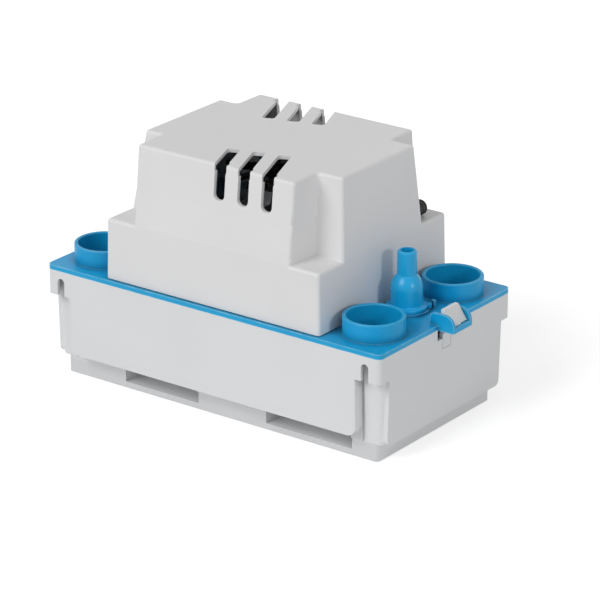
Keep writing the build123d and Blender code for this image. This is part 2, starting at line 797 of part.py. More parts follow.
# ================================================================ motor
with BuildPart() as motor_stack:
    with BuildSketch(at(stack_bottom)) as lamination:
        with Locations(((leg_right - stack_left) / 2, 0)):
            Rectangle(stack_left + leg_right, 2 * stack_half_width)
        fillet(lamination.vertices(), stack_corner)
        Circle(rotor_bore, mode=Mode.SUBTRACT)
        with Locations(((window_near + window_far) / 2, 0)):
            Rectangle(window_far - window_near, 2 * window_half, mode=Mode.SUBTRACT)
        with Locations((0, motor_screw_y), (0, -motor_screw_y)):
            Circle(motor_screw_radius + screw_clearance, mode=Mode.SUBTRACT)
    extrude(lamination.sketch, amount=stack_height)
finish(motor_stack, "motor_stack")

stack_middle = (stack_bottom + stack_top) / 2


def round_the_leg(grow, half_y, corner, mode=Mode.ADD):
    """Block about the coil's leg of the stack, larger than the leg by grow on each side."""
    with BuildSketch(Plane.XZ) as profile:
        with Locations(((window_far + leg_right) / 2, stack_middle)):
            RectangleRounded(leg_right - window_far + 2 * grow, stack_height + 2 * grow, corner)
    extrude(profile.sketch, amount=half_y, both=True, mode=mode)


bobbin_half = window_half - bobbin_clearance

with BuildPart() as winding_room:
    round_the_leg(tube_grow + winding + 1, bobbin_half - bobbin_flange, bobbin_corner)
    round_the_leg(tube_grow, bobbin_half, tube_corner, mode=Mode.SUBTRACT)

with BuildPart() as coil_bobbin:
    round_the_leg(tube_grow + winding, bobbin_half, bobbin_corner)
    add(winding_room.part, mode=Mode.SUBTRACT)
    round_the_leg(bobbin_clearance, bobbin_half + 1, bobbin_clearance, mode=Mode.SUBTRACT)
finish(coil_bobbin, "coil_bobbin")

with BuildPart() as motor_coil:
    coil_half = bobbin_half - bobbin_flange - bobbin_clearance
    round_the_leg(tube_grow + winding - coil_below_flange, coil_half, coil_corner)
    round_the_leg(tube_grow + bobbin_clearance, coil_half + 1, tube_corner + bobbin_clearance,
                  mode=Mode.SUBTRACT)
finish(motor_coil, "motor_coil")


def bearing_bracket(foot_z, bridge_z):
    """Pressed strip with two feet on the stack and a bridge that holds a bearing."""
    foot_inner = rotor_bore + bracket_bend
    bridge_outer = rotor_bore
    thick = bracket_sheet
    with BuildPart() as bracket:
        with BuildSketch(Plane.YZ) as strip:
            with BuildLine():
                Polyline(
                    (-stack_half_width, foot_z), (-stack_half_width, foot_z + thick),
                    (-foot_inner, foot_z + thick), (-bridge_outer, bridge_z + thick),
                    (bridge_outer, bridge_z + thick), (foot_inner, foot_z + thick),
                    (stack_half_width, foot_z + thick), (stack_half_width, foot_z),
                    (foot_inner + thick / 2, foot_z), (bridge_outer + thick / 2, bridge_z),
                    (-bridge_outer - thick / 2, bridge_z), (-foot_inner - thick / 2, foot_z),
                    close=True,
                )
            make_face()
        extrude(strip.sketch, amount=bracket_width / 2, both=True)
        disc(0, 0, bridge_z - 1, bearing_radius + screw_clearance, thick + 2, mode=Mode.SUBTRACT)
        for side in (-1, 1):
            disc(0, side * motor_screw_y, foot_z - 1, motor_screw_radius + screw_clearance, thick + 2,
                 mode=Mode.SUBTRACT)
    return bracket


lower_bracket = bearing_bracket(bracket_z, lower_bridge)
finish(lower_bracket, "lower_bracket")

with BuildPart() as upper_bracket:
    turned = bearing_bracket(bracket_z, lower_bridge).part.rotate(Axis.X, 180)
    add(turned.translate((0, 0, bracket_z + stack_top + bracket_sheet)))
finish(upper_bracket, "upper_bracket")


def sleeve_bearing(middle, name):
    """Sintered sleeve bearing held in a bracket's bridge."""
    with BuildPart() as bearing:
        disc(0, 0, middle - bearing_length / 2, bearing_radius, bearing_length)
        fillet(bearing.edges().filter_by(GeomType.CIRCLE), bearing_edge)
        disc(0, 0, middle - bearing_length, shaft_radius + shaft_running, 2 * bearing_length,
             mode=Mode.SUBTRACT)
    finish(bearing, name)


sleeve_bearing(lower_bridge + bracket_sheet / 2, "lower_bearing")
sleeve_bearing(upper_bridge - bracket_sheet / 2, "upper_bearing")

with BuildPart() as motor_screws:
    clamp_top = stack_top + bracket_sheet
    for side in (-1, 1):
        disc(0, side * motor_screw_y, lid_top + lid_thickness, motor_screw_radius,
             clamp_top - lid_top - lid_thickness)
        disc(0, side * motor_screw_y, clamp_top, motor_screw_head, motor_screw_head_height)
finish(motor_screws, "motor_screws")

with BuildPart() as shaft:
    disc(0, 0, shaft_bottom, shaft_radius, shaft_top - shaft_bottom)
    chamfer(shaft.edges().filter_by(GeomType.CIRCLE), shaft_chamfer)
finish(shaft, "shaft")

with BuildPart() as rotor:
    rotor_radius = rotor_bore - rotor_gap
    disc(0, 0, stack_bottom - rotor_overhang, rotor_radius, stack_height + 2 * rotor_overhang)
    for end_z, inward in ((stack_bottom - rotor_overhang, 1), (stack_top + rotor_overhang, -1)):
        with BuildSketch(at(end_z)) as recess:
            Circle(rotor_radius - rotor_ring)
            Circle(shaft_radius + rotor_hub, mode=Mode.SUBTRACT)
        extrude(recess.sketch, amount=inward * rotor_overhang, mode=Mode.SUBTRACT)
    disc(0, 0, stack_bottom - rotor_overhang - 1, shaft_radius + press_clearance,
         stack_height + 2 * rotor_overhang + 2, mode=Mode.SUBTRACT)
finish(rotor, "rotor")


def radial_planes(radius, count, z):
    """Upright planes that face outwards, evenly spaced on a circle about the shaft."""
    planes = []
    for number in range(count):
        turn = 2 * pi * number / count
        planes.append(Plane((radius * cos(turn), radius * sin(turn), z), x_dir=(-sin(turn), cos(turn), 0),
                            z_dir=(cos(turn), sin(turn), 0)))
    return planes


with BuildPart() as cooling_fan:
    disc(0, 0, fan_bottom, fan_hub_radius, fan_hub_height)
    fillet(cooling_fan.edges().group_by(Axis.Z)[-1], fan_hub_edge)
    blade_planes = radial_planes(fan_hub_radius - 1, fan_blades, fan_bottom + fan_hub_height / 2)
    with BuildSketch(*blade_planes) as blades:
        Rectangle(fan_blade_width, fan_blade_sheet, rotation=fan_pitch)
    extrude(blades.sketch, amount=fan_radius - fan_hub_radius + 1)
    with BuildSketch(at(fan_bottom - fan_blade_width / 2)) as rim:
        Circle(fan_radius + fan_blade_width)
        Circle(fan_radius, mode=Mode.SUBTRACT)
    extrude(rim.sketch, amount=fan_hub_height + fan_blade_width, mode=Mode.SUBTRACT)
    disc(0, 0, fan_bottom - 1, shaft_radius + press_clearance, fan_hub_height + 2, mode=Mode.SUBTRACT)
finish(cooling_fan, "cooling_fan")


# ================================================================ pump under the lid
with BuildPart() as pump_column:
    disc(0, 0, tank_height - flange_sheet, column_flange, flange_sheet)
    disc(0, 0, casing_top, column_radius, tank_height - casing_top)
    disc(0, 0, casing_top, column_flange, flange_sheet)
    disc(0, 0, casing_top - 1, column_bore, tank_height, mode=Mode.SUBTRACT)
    for level in (casing_top, tank_height - flange_sheet):
        with BuildSketch(at(level)) as flange_holes:
            with PolarLocations(flange_screw_radius, 3, start_angle=flange_screw_turn):
                Circle(small_screw_radius + screw_clearance)
        extrude(flange_holes.sketch, amount=flange_sheet, mode=Mode.SUBTRACT)
    # drain windows
    with BuildSketch(Plane.YZ) as drains:
        with Locations((0, (tank_height + casing_top) / 2)):
            SlotOverall(drain_height, drain_width, rotation=90)
    extrude(drains.sketch, amount=column_radius + 1, both=True, mode=Mode.SUBTRACT)
finish(pump_column, "pump_column")

with BuildPart() as column_screws:
    upper_end = lid_top - flange_screw_end
    for low, high, seat in (
        (tank_height - flange_sheet, upper_end, tank_height - flange_sheet - small_head_height),
        (casing_top - casing_wall, casing_top + flange_sheet, casing_top + flange_sheet),
    ):
        with BuildSketch(at(low)) as shanks:
            with PolarLocations(flange_screw_radius, 3, start_angle=flange_screw_turn):
                Circle(small_screw_radius)
        extrude(shanks.sketch, amount=high - low)
        with BuildSketch(at(seat)) as heads:
            with PolarLocations(flange_screw_radius, 3, start_angle=flange_screw_turn):
                Circle(small_head_radius)
        extrude(heads.sketch, amount=small_head_height)
finish(column_screws, "column_screws")

with BuildPart() as guide_bush:
    disc(0, 0, casing_top + 1, column_bore - press_clearance, bush_length)
    disc(0, 0, casing_top, shaft_radius + shaft_running, bush_length + 2, mode=Mode.SUBTRACT)
finish(guide_bush, "guide_bush")

outlet_way = (cos(outlet_turn * pi / 180), sin(outlet_turn * pi / 180), 0)
outlet_start = (outlet_offset * outlet_way[1], -outlet_offset * outlet_way[0], outlet_z)
outlet_plane = Plane(outlet_start, z_dir=outlet_way)

with BuildPart() as pump_casing:
    disc(0, 0, casing_bottom, casing_radius + casing_wall, casing_top - casing_bottom)
    with BuildSketch(outlet_plane) as outlet_tube:
        Circle(nipple_radius)
    extrude(outlet_tube.sketch, amount=outlet_length)
    disc(0, 0, casing_bottom - 1, casing_radius, casing_top - casing_wall - casing_bottom + 1,
         mode=Mode.SUBTRACT)
    disc(0, 0, casing_bottom, shaft_radius + casing_hole_gap, casing_top, mode=Mode.SUBTRACT)
    with BuildSketch(outlet_plane) as outlet_hole:
        Circle(outlet_bore)
    extrude(outlet_hole.sketch, amount=outlet_length + 1, mode=Mode.SUBTRACT)
    with BuildSketch(at(casing_top - casing_wall)) as flange_holes:
        with PolarLocations(flange_screw_radius, 3, start_angle=flange_screw_turn):
            Circle(small_screw_radius + screw_clearance)
    extrude(flange_holes.sketch, amount=casing_wall, mode=Mode.SUBTRACT)
finish(pump_casing, "pump_casing")

with BuildPart() as suction_plate:
    disc(0, 0, casing_bottom - plate_sheet, casing_radius + casing_wall, plate_sheet)
    disc(0, 0, casing_bottom - plate_sheet, suction_eye, plate_sheet, mode=Mode.SUBTRACT)
    with BuildSketch(at(strainer_bottom)) as posts:
        with PolarLocations(casing_radius + casing_wall - 2 * strainer_post_radius, strainer_posts):
            Circle(strainer_post_radius)
    extrude(posts.sketch, amount=casing_bottom - plate_sheet - strainer_bottom)
finish(suction_plate, "suction_plate")

with BuildPart() as impeller:
    disc_bottom = shaft_bottom + vane_height
    disc(0, 0, disc_bottom, impeller_radius, impeller_disc)
    disc(0, 0, shaft_bottom, impeller_hub, vane_height + impeller_disc + impeller_collar)
    with BuildSketch(at(shaft_bottom)) as vane:
        with BuildLine():
            vane_start = (impeller_hub - vane_sheet / 2, 0)
            vane_end = (impeller_radius * cos(pi / 3), impeller_radius * sin(pi / 3))
            centre_line = RadiusArc(vane_start, vane_end, -vane_bow)
        trace(lines=centre_line, line_width=vane_sheet)
    with BuildSketch(at(shaft_bottom)) as vanes:
        for number in range(impeller_vanes):
            add(vane.sketch.rotate(Axis.Z, 360 / impeller_vanes * number).translate((0, 0, -shaft_bottom)))
    extrude(vanes.sketch, amount=vane_height)
    disc(0, 0, shaft_bottom, shaft_radius + press_clearance, vane_height + impeller_disc + impeller_collar,
         mode=Mode.SUBTRACT)
finish(impeller, "impeller")

with BuildPart() as discharge_hose:
    hose_from = outlet_length - hose_overlap
    start = tuple(a + hose_from * b for a, b in zip(outlet_start, outlet_way))
    corner = (valve_x, 0, outlet_z)
    end = (valve_x, 0, socket_bottom - hose_clearance)
    with BuildLine() as hose_line:
        FilletPolyline(start, corner, end, radius=hose_bend)
    with BuildSketch(Plane(start, z_dir=outlet_way)) as hose_section:
        Circle(hose_bore + hose_wall)
        Circle(hose_bore, mode=Mode.SUBTRACT)
    sweep(hose_section.sketch, path=hose_line.line)
finish(discharge_hose, "discharge_hose")

with BuildPart() as hose_clips:
    clip_start = tuple(a + (hose_from + clip_inset) * b for a, b in zip(outlet_start, outlet_way))
    for plane in (Plane(clip_start, z_dir=outlet_way), Plane(end, z_dir=(0, 0, -1)).offset(clip_inset)):
        with BuildSketch(plane) as band:
            Circle(hose_bore + hose_wall + clip_sheet)
            Circle(hose_bore + hose_wall + press_clearance, mode=Mode.SUBTRACT)
        extrude(band.sketch, amount=clip_width)
finish(hose_clips, "hose_clips")


# ================================================================ check valve
valve_axis = Axis((valve_x, 0, 0), (0, 0, 1))
valve_plane = Plane((valve_x, 0, 0), x_dir=(1, 0, 0), z_dir=(0, -1, 0))
spigot_radius = socket_bore - valve_fit
spigot_bottom = socket_bottom + socket_floor + rest_gap
o_ring_z = spigot_bottom + o_ring_rise
flange_bottom = lid_top + socket_rise + valve_gap
flange_top = flange_bottom + valve_flange
ball_z = spigot_bottom + valve_seat_height + (ball_radius ** 2 - seat_bore ** 2) ** 0.5 + ball_gap
rib_bottom = ball_z + ball_radius + ball_lift + ball_gap

with BuildPart() as valve_body:
    with BuildSketch(valve_plane) as valve_half:
        with BuildLine():
            Polyline((valve_chamber, spigot_bottom), (spigot_radius, spigot_bottom),
                     (spigot_radius, o_ring_z - o_ring_room), (groove_radius, o_ring_z - o_ring_room),
                     (groove_radius, o_ring_z + o_ring_room), (spigot_radius, o_ring_z + o_ring_room),
                     (spigot_radius, flange_bottom), (valve_flange_radius, flange_bottom),
                     (valve_flange_radius, flange_top), (valve_radius, flange_top),
                     (valve_radius, valve_shoulder))
            shoulder_mid = (valve_shoulder + valve_neck_start) / 2
            shoulder_r = (valve_radius + valve_neck_radius) / 2
            ThreePointArc((valve_radius, valve_shoulder), (shoulder_r + shoulder_bulge, shoulder_mid),
                          (valve_neck_radius, valve_neck_start))
            Polyline((valve_neck_radius, valve_neck_start), (valve_neck_radius, valve_top - neck_edge),
                     (valve_neck_radius - neck_edge, valve_top), (valve_neck_bore, valve_top),
                     (valve_neck_bore, valve_neck_start - 2), (valve_chamber, valve_chamber_top),
                     (valve_chamber, spigot_bottom))
        make_face()
    revolve(valve_half.sketch, axis=valve_axis)
    fillet(valve_body.edges().filter_by(GeomType.CIRCLE).filter_by(
        lambda edge: abs(edge.center().Z - flange_top) < 0.01), valve_flange_edge)
    # ribs that stop the ball and the lug of the bayonet
    for number in range(3):
        with BuildSketch(Plane((valve_x, 0, rib_bottom))) as rib:
            with Locations(Location((0, 0, 0), (0, 0, 120 * number))):
                with Locations(((cage_reach + valve_chamber + press_clearance) / 2, 0)):
                    Rectangle(valve_chamber + cage_rib / 2 - cage_reach, cage_rib)
        extrude(rib.sketch, amount=valve_chamber_top - rib_bottom)
    with BuildSketch(Plane((valve_x, 0, flange_bottom))) as lug:
        with Locations(Location((0, 0, 0), (0, 0, lug_angle))):
            with Locations((valve_flange_radius + lug_size / 2 - lug_overlap, 0)):
                Rectangle(lug_size, lug_size)
    extrude(lug.sketch, amount=valve_flange)
finish(valve_body, "valve_body")

with BuildPart() as valve_seat:
    disc(valve_x, 0, spigot_bottom, valve_chamber - press_clearance, valve_seat_height)
    disc(valve_x, 0, spigot_bottom, seat_bore, valve_seat_height, mode=Mode.SUBTRACT)
finish(valve_seat, "valve_seat")

with BuildPart() as valve_ball:
    with Locations((valve_x, 0, ball_z)):
        Sphere(ball_radius)
finish(valve_ball, "valve_ball")

with BuildPart() as valve_o_ring:
    with BuildSketch(valve_plane) as ring_section:
        with Locations(((groove_radius + spigot_radius) / 2 + o_ring_squeeze, o_ring_z)):
            Circle((spigot_radius - groove_radius) / 2)
    revolve(ring_section.sketch, axis=valve_axis)
finish(valve_o_ring, "valve_o_ring")


# ================================================================ float and switches
with BuildPart() as float_block:
    with BuildSketch(at(float_bottom)) as plan:
        with Locations((-float_x, 0)):
            RectangleRounded(float_length, 2 * float_half_width, float_corner)
    extrude(plan.sketch, amount=float_height)
    fillet(float_block.edges().group_by(Axis.Z)[0] + float_block.edges().group_by(Axis.Z)[-1], float_edge)
    disc(-float_x, 0, float_bottom - 1, rod_radius + press_clearance, float_height + 2, mode=Mode.SUBTRACT)
finish(float_block, "float_block")

guide_top = lid_top + guide_rise
collar_bottom = guide_top + rest_gap
with BuildPart() as float_rod:
    disc(-float_x, 0, float_bottom, rod_radius, collar_bottom + rod_collar - float_bottom)
    disc(-float_x, 0, collar_bottom, rod_collar_radius, rod_collar)
    disc(-float_x, 0, collar_bottom, rod_tip_radius, rod_top - rod_tip_radius - collar_bottom)
    with Locations((-float_x, 0, rod_top - rod_tip_radius)):
        Sphere(rod_tip_radius)
finish(float_rod, "float_rod")

with BuildPart() as switch_lever:
    with BuildSketch(Plane.XZ) as arm:
        with Locations((lever_pivot_x - lever_left / 2, lever_pivot_z)):
            Rectangle(lever_left, lever_thickness)
    extrude(arm.sketch, amount=lever_arm_half_width, both=True)
    with BuildSketch(Plane.XZ) as upright:
        with Locations((lever_pivot_x, lever_pivot_z)):
            Circle(lever_hub_radius)
        with Locations((trip_face - trip_plate / 2, lever_pivot_z + (trip_rise - trip_drop) / 2)):
            Rectangle(trip_plate, trip_rise + trip_drop)
    extrude(upright.sketch, amount=lever_half_width, both=True)
    with BuildSketch(Plane.XZ) as pivot_hole:
        with Locations((lever_pivot_x, lever_pivot_z)):
            Circle(lever_pin_radius + shaft_running)
    extrude(pivot_hole.sketch, amount=lever_half_width + 1, both=True, mode=Mode.SUBTRACT)
finish(switch_lever, "switch_lever")

upright_inner = lever_half_width + lever_side_gap
upright_outer = upright_inner + bracket_upright
switch_top = switch_bottom + switch_length
bracket_left = lever_pivot_x - bracket_past_pivot
bracket_right = switch_left + switch_height + bracket_past_switch
switch_middle = switch_left + switch_height / 2
screw_levels = (switch_bottom + switch_screw_inset, switch_top - switch_screw_inset)


def cross_pins(radius, half, places, mode=Mode.ADD):
    """Pins that run across the bracket, at places given as (x, z)."""
    with BuildSketch(Plane.XZ) as profile:
        with Locations(*places):
            Circle(radius)
    extrude(profile.sketch, amount=half, both=True, mode=mode)


switch_screw_places = [(switch_middle, level) for level in screw_levels]

with BuildPart() as switch_bracket:
    block((bracket_left, -upright_outer, lid_top),
          (bracket_right, upright_outer, lid_top + bracket_upright))
    for side in (-1, 1):
        edges = sorted((side * upright_inner, side * upright_outer))
        block((bracket_left, edges[0], lid_top), (bracket_right, edges[1], switch_top))
    cross_pins(lever_pin_radius + press_clearance, upright_outer + 1, [(lever_pivot_x, lever_pivot_z)],
               mode=Mode.SUBTRACT)
    cross_pins(switch_screw_radius + screw_clearance, upright_outer + 1, switch_screw_places,
               mode=Mode.SUBTRACT)
finish(switch_bracket, "switch_bracket")

with BuildPart() as lever_pin:
    cross_pins(lever_pin_radius, upright_outer, [(lever_pivot_x, lever_pivot_z)])
finish(lever_pin, "lever_pin")

with BuildPart() as switch_screws:
    cross_pins(switch_screw_radius, upright_outer + switch_screw_end, switch_screw_places)
finish(switch_screws, "switch_screws")

switch_y = (switch_gap + switch_width) / 2
for name, side, extra in (("pump", -1, 0.0), ("alarm", 1, alarm_extra)):
    tip_x = trip_face + button_gap + extra
    button_z = lever_pivot_z + button_height
    button_end = switch_left + button_seat
    with BuildPart() as microswitch:
        block((switch_left, side * switch_y - switch_width / 2, switch_bottom),
              (switch_left + switch_height, side * switch_y + switch_width / 2, switch_top))
        with BuildSketch(Plane.YZ.offset(switch_left - 1)) as button_hole:
            with Locations((side * switch_y, button_z)):
                Circle(button_radius + guide_running)
        extrude(button_hole.sketch, amount=button_seat + button_travel + 2, mode=Mode.SUBTRACT)
        cross_pins(switch_screw_radius + screw_clearance, tank_width, switch_screw_places,
                   mode=Mode.SUBTRACT)
    finish(microswitch, f"{name}_switch")
    with BuildPart() as button:
        with BuildSketch(Plane.YZ.offset(tip_x + button_radius)) as button_section:
            with Locations((side * switch_y, button_z)):
                Circle(button_radius)
        extrude(button_section.sketch, amount=button_end - tip_x - button_radius)
        with Locations((tip_x + button_radius, side * switch_y, button_z)):
            Sphere(button_radius)
    finish(button, f"{name}_switch_button")


# ================================================================ terminal block
with BuildPart() as terminal_block:
    with BuildSketch(at(lid_top)) as terminal_plan:
        with Locations((terminal_x, terminal_y)):
            RectangleRounded(terminal_length, terminal_width, terminal_corner)
    extrude(terminal_plan.sketch, amount=terminal_height)
    way = terminal_length / terminal_ways
    with BuildSketch(at(lid_top + terminal_height)) as screw_wells:
        with Locations((terminal_x, terminal_y)):
            with GridLocations(way, 1, terminal_ways, 1):
                Circle(small_head_radius)
    extrude(screw_wells.sketch, amount=-terminal_height / 2, mode=Mode.SUBTRACT)
    with BuildSketch(Plane.XZ) as wire_holes:
        with Locations((terminal_x, lid_top + terminal_height / 4)):
            with GridLocations(way, 1, terminal_ways, 1):
                Circle(wire_hole_radius)
    extrude(wire_holes.sketch, amount=-tank_width / 2, mode=Mode.SUBTRACT)
finish(terminal_block, "terminal_block")

with BuildPart() as terminal_screws:
    with BuildSketch(at(lid_top + terminal_height / 2)) as screw_heads:
        with Locations((terminal_x, terminal_y)):
            with GridLocations(way, 1, terminal_ways, 1):
                Circle(terminal_screw_radius)
    extrude(screw_heads.sketch, amount=terminal_height / 4)
finish(terminal_screws, "terminal_screws")
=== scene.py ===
"""Condensate pump: finishes, small modelled pieces and a plain studio stage."""

import json
import math

import bpy
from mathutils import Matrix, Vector

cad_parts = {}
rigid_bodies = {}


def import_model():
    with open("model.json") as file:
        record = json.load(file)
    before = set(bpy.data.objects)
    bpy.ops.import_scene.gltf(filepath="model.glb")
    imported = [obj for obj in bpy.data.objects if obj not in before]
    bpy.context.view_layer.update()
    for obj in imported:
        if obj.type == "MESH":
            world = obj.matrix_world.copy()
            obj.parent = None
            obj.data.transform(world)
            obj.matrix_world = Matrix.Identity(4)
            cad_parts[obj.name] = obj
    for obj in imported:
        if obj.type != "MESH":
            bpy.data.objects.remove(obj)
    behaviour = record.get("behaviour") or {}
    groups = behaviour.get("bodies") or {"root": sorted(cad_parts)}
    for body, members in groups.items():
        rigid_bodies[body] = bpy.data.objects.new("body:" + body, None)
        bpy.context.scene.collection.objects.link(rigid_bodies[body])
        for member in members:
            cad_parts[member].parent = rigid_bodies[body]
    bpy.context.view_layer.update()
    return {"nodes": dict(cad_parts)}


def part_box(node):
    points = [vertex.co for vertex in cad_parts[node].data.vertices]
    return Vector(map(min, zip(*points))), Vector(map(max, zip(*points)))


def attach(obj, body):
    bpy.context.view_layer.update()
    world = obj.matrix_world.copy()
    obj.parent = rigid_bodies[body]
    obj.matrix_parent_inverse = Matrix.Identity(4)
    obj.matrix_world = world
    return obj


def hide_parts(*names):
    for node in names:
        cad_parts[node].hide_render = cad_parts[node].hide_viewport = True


bl_info = {
    "name": "Condensate Pump",
    "version": (1, 0, 0),
    "blender": (4, 5, 0),
    "location": "View3D > Sidebar > Pump",
    "description": "Finishes and small pieces of a tank condensate pump",
    "category": "Object",
}

for left_over in list(bpy.data.objects):
    bpy.data.objects.remove(left_over)

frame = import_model()
NODES = frame["nodes"]
MM = 0.001


# ------------------------------------------------------------------ settings
class PumpColours(bpy.types.PropertyGroup):
    """Colours of the moulded and metal finishes."""

    tank: bpy.props.FloatVectorProperty(
        name="Tank", description="Moulded tank and latch hook",
        subtype="COLOR", size=3, min=0, max=1, default=(0.745, 0.755, 0.765))
    cover: bpy.props.FloatVectorProperty(
        name="Motor cover", description="Moulded motor cover",
        subtype="COLOR", size=3, min=0, max=1, default=(0.770, 0.770, 0.775))
    lid: bpy.props.FloatVectorProperty(
        name="Lid", description="Moulded lid and its collars",
        subtype="COLOR", size=3, min=0, max=1, default=(0.003, 0.355, 0.675))
    valve: bpy.props.FloatVectorProperty(
        name="Check valve", description="Moulded check valve body",
        subtype="COLOR", size=3, min=0, max=1, default=(0.006, 0.400, 0.750))
    white_moulding: bpy.props.FloatVectorProperty(
        name="White moulding", description="Fan, float, bobbin and lever",
        subtype="COLOR", size=3, min=0, max=1, default=(0.72, 0.72, 0.69))
    dark_moulding: bpy.props.FloatVectorProperty(
        name="Dark moulding", description="Pump column, casing and switch bracket",
        subtype="COLOR", size=3, min=0, max=1, default=(0.045, 0.048, 0.052))
    # The winding's default is darkened, partly a real varnished finish and partly painted shade for the
    # dark inside the cover.
    winding: bpy.props.FloatVectorProperty(
        name="Winding", description="Varnished wire of the motor's coil",
        subtype="COLOR", size=3, min=0, max=1, default=(0.24, 0.080, 0.025))


class PumpSizes(bpy.types.PropertyGroup):
    """Sizes of the finish and of the pieces modelled here."""

    grain: bpy.props.FloatProperty(
        name="Moulding grain", description="Size of the grain on moulded surfaces",
        subtype="DISTANCE", unit="LENGTH", min=0.00005, max=0.005, default=0.0006)
    # The lighter line along edges is partly wear and partly painted highlight.
    worn_and_highlit_edge: bpy.props.FloatProperty(
        name="Worn and highlit edge", description="Width of the lighter line along edges",
        subtype="DISTANCE", unit="LENGTH", min=0.0001, max=0.003, default=0.0007)
    lamination: bpy.props.FloatProperty(
        name="Lamination", description="Thickness of one sheet of the motor's stack",
        subtype="DISTANCE", unit="LENGTH", min=0.0002, max=0.002, default=0.0006)
    wire: bpy.props.FloatProperty(
        name="Wire", description="Pitch of the turns on the coil",
        subtype="DISTANCE", unit="LENGTH", min=0.0001, max=0.002, default=0.0005)
    gland_ribs: bpy.props.IntProperty(
        name="Gland ribs", description="Rings round the sleeve of the cable gland", min=1, max=8, default=4)


# ------------------------------------------------------------------ shader helpers
def add_node(tree, kind, inputs=None, **settings):
    """A node with its settings; an input is a value to set or a socket to link from."""
    node = tree.nodes.new(kind)
    for key, value in settings.items():
        setattr(node, key, value)
    for socket, value in (inputs or {}).items():
        if isinstance(value, bpy.types.NodeSocket):
            tree.links.new(value, node.inputs[socket])
        else:
            node.inputs[socket].default_value = value
    return node


def work_out(tree, operation, *values, clamp=False):
    """What a Math node makes of numbers and sockets."""
    node = add_node(tree, "ShaderNodeMath", dict(enumerate(values)), operation=operation, use_clamp=clamp)
    return node.outputs[0]


def spread(tree, value, low, high, new_low=0.0, new_high=1.0, slope="LINEAR"):
    """A value between low and high, brought to lie between new_low and new_high."""
    inputs = {"Value": value, "From Min": low, "From Max": high, "To Min": new_low, "To Max": new_high}
    return add_node(tree, "ShaderNodeMapRange", inputs, interpolation_type=slope).outputs["Result"]


def noise(tree, place, scale, detail, roughness=0.5):
    """Soft noise between 0 and 1, with as many features to the metre as scale says."""
    inputs = {"Vector": place, "Scale": scale, "Detail": detail, "Roughness": roughness}
    return add_node(tree, "ShaderNodeTexNoise", inputs).outputs["Fac"]


def mixed(tree, amount, first, second):
    """The first colour, turned to the second by amount."""
    inputs = {0: amount, "A": first, "B": second}
    return add_node(tree, "ShaderNodeMix", inputs, data_type="RGBA").outputs["Result"]


def on_object(tree):
    """Place on the object, in metres."""
    return add_node(tree, "ShaderNodeTexCoord").outputs["Object"]


def facing(tree):
    """Direction in which the surface faces."""
    return add_node(tree, "ShaderNodeNewGeometry").outputs["Normal"]


def along(tree, vector):
    """Node whose outputs X, Y and Z are the parts of a vector."""
    return add_node(tree, "ShaderNodeSeparateXYZ", {0: vector})


def new_group(name, inputs, outputs):
    """An empty shader group: itself, its inputs as sockets to link from, and its output node."""
    group = bpy.data.node_groups.new(name, "ShaderNodeTree")
    for label, kind, value in inputs:
        socket = group.interface.new_socket(name=label, in_out="INPUT", socket_type=kind)
        socket.default_value = value
    for label, kind in outputs:
        group.interface.new_socket(name=label, in_out="OUTPUT", socket_type=kind)
    entry = group.nodes.new("NodeGroupInput")
    leave = group.nodes.new("NodeGroupOutput")
    return group, entry.outputs, leave


def give(group, leave, **results):
    """Links a group's results to its outputs of the same names."""
    for label, socket in results.items():
        group.links.new(socket, leave.inputs[label])


# ------------------------------------------------------------------ shader groups
COLOUR, NUMBER = "NodeSocketColor", "NodeSocketFloat"
CLOUDS, STAINS, CHIPS, SPECKS, SCRATCHES = 18.0, 90.0, 140.0, 260.0, 1500.0  # features to the metre
DUST_COLOUR = (0.72, 0.71, 0.69, 1)
FOOT_TOP, FOOT_FADE = 9.5 * MM, 1.5 * MM  # height where the painted shade on the foot ends, and the width of its edge
FOOT_OUTSIDE = 53.0 * MM  # distance from the middle line past which the foot gets painted shade


def moulding_group():
    """Colour drift, fine grain, dust on top and painted shade on the foot of a moulded surface."""
    group, given, leave = new_group(
        "Moulding surface",
        [("Colour", COLOUR, (0.8, 0.8, 0.8, 1)), ("Grain per metre", NUMBER, 1600.0),
         ("Drift", NUMBER, 0.03), ("Roughness", NUMBER, 0.5), ("Roughness drift", NUMBER, 0.08),
         ("Dust", NUMBER, 0.03), ("Scuffed foot", NUMBER, 0.0)],
        [("Colour", COLOUR), ("Roughness", NUMBER), ("Height", NUMBER)])
    place = on_object(group)
    sides = along(group, place)
    deep, pale = 0.3, 0.7
    drift = spread(group, noise(group, place, CLOUDS, 3.0), deep, pale, -0.5, 0.5)

    # Painted shade: the outer faces of the foot are darkened, standing in for shadow under the tank's
    # overhang.
    low_down = spread(group, sides.outputs["Z"], FOOT_TOP, FOOT_TOP - FOOT_FADE)
    across = work_out(group, "ABSOLUTE", sides.outputs["Y"])
    outside = work_out(group, "GREATER_THAN", across, FOOT_OUTSIDE)
    foot_shade = work_out(group, "MULTIPLY", low_down, outside)
    unmarked = work_out(group, "SUBTRACT", 1.0, work_out(group, "MULTIPLY", foot_shade, given["Scuffed foot"]))
    level = work_out(group, "ADD", work_out(group, "MULTIPLY", drift, given["Drift"]), unmarked)
    tone = add_node(group, "ShaderNodeVectorMath", {0: given["Colour"], "Scale": level}, operation="SCALE")

    bare, dusty = 0.45, 0.75
    specks = spread(group, noise(group, place, SPECKS, 4.0, 0.62), bare, dusty)
    steep, flat = 0.3, 1.0  # how far a face looks up
    upward = spread(group, along(group, facing(group)).outputs["Z"], steep, flat)
    dust = work_out(group, "MULTIPLY", work_out(group, "MULTIPLY", specks, upward), given["Dust"])

    rubbed = work_out(group, "MULTIPLY", drift, given["Roughness drift"])
    rough = work_out(group, "ADD", given["Roughness"], rubbed, clamp=True)
    give(group, leave,
         Colour=mixed(group, dust, tone.outputs[0], DUST_COLOUR),
         Roughness=work_out(group, "ADD", rough, dust, clamp=True),
         Height=noise(group, place, given["Grain per metre"], 3.0, 0.6))
    return group


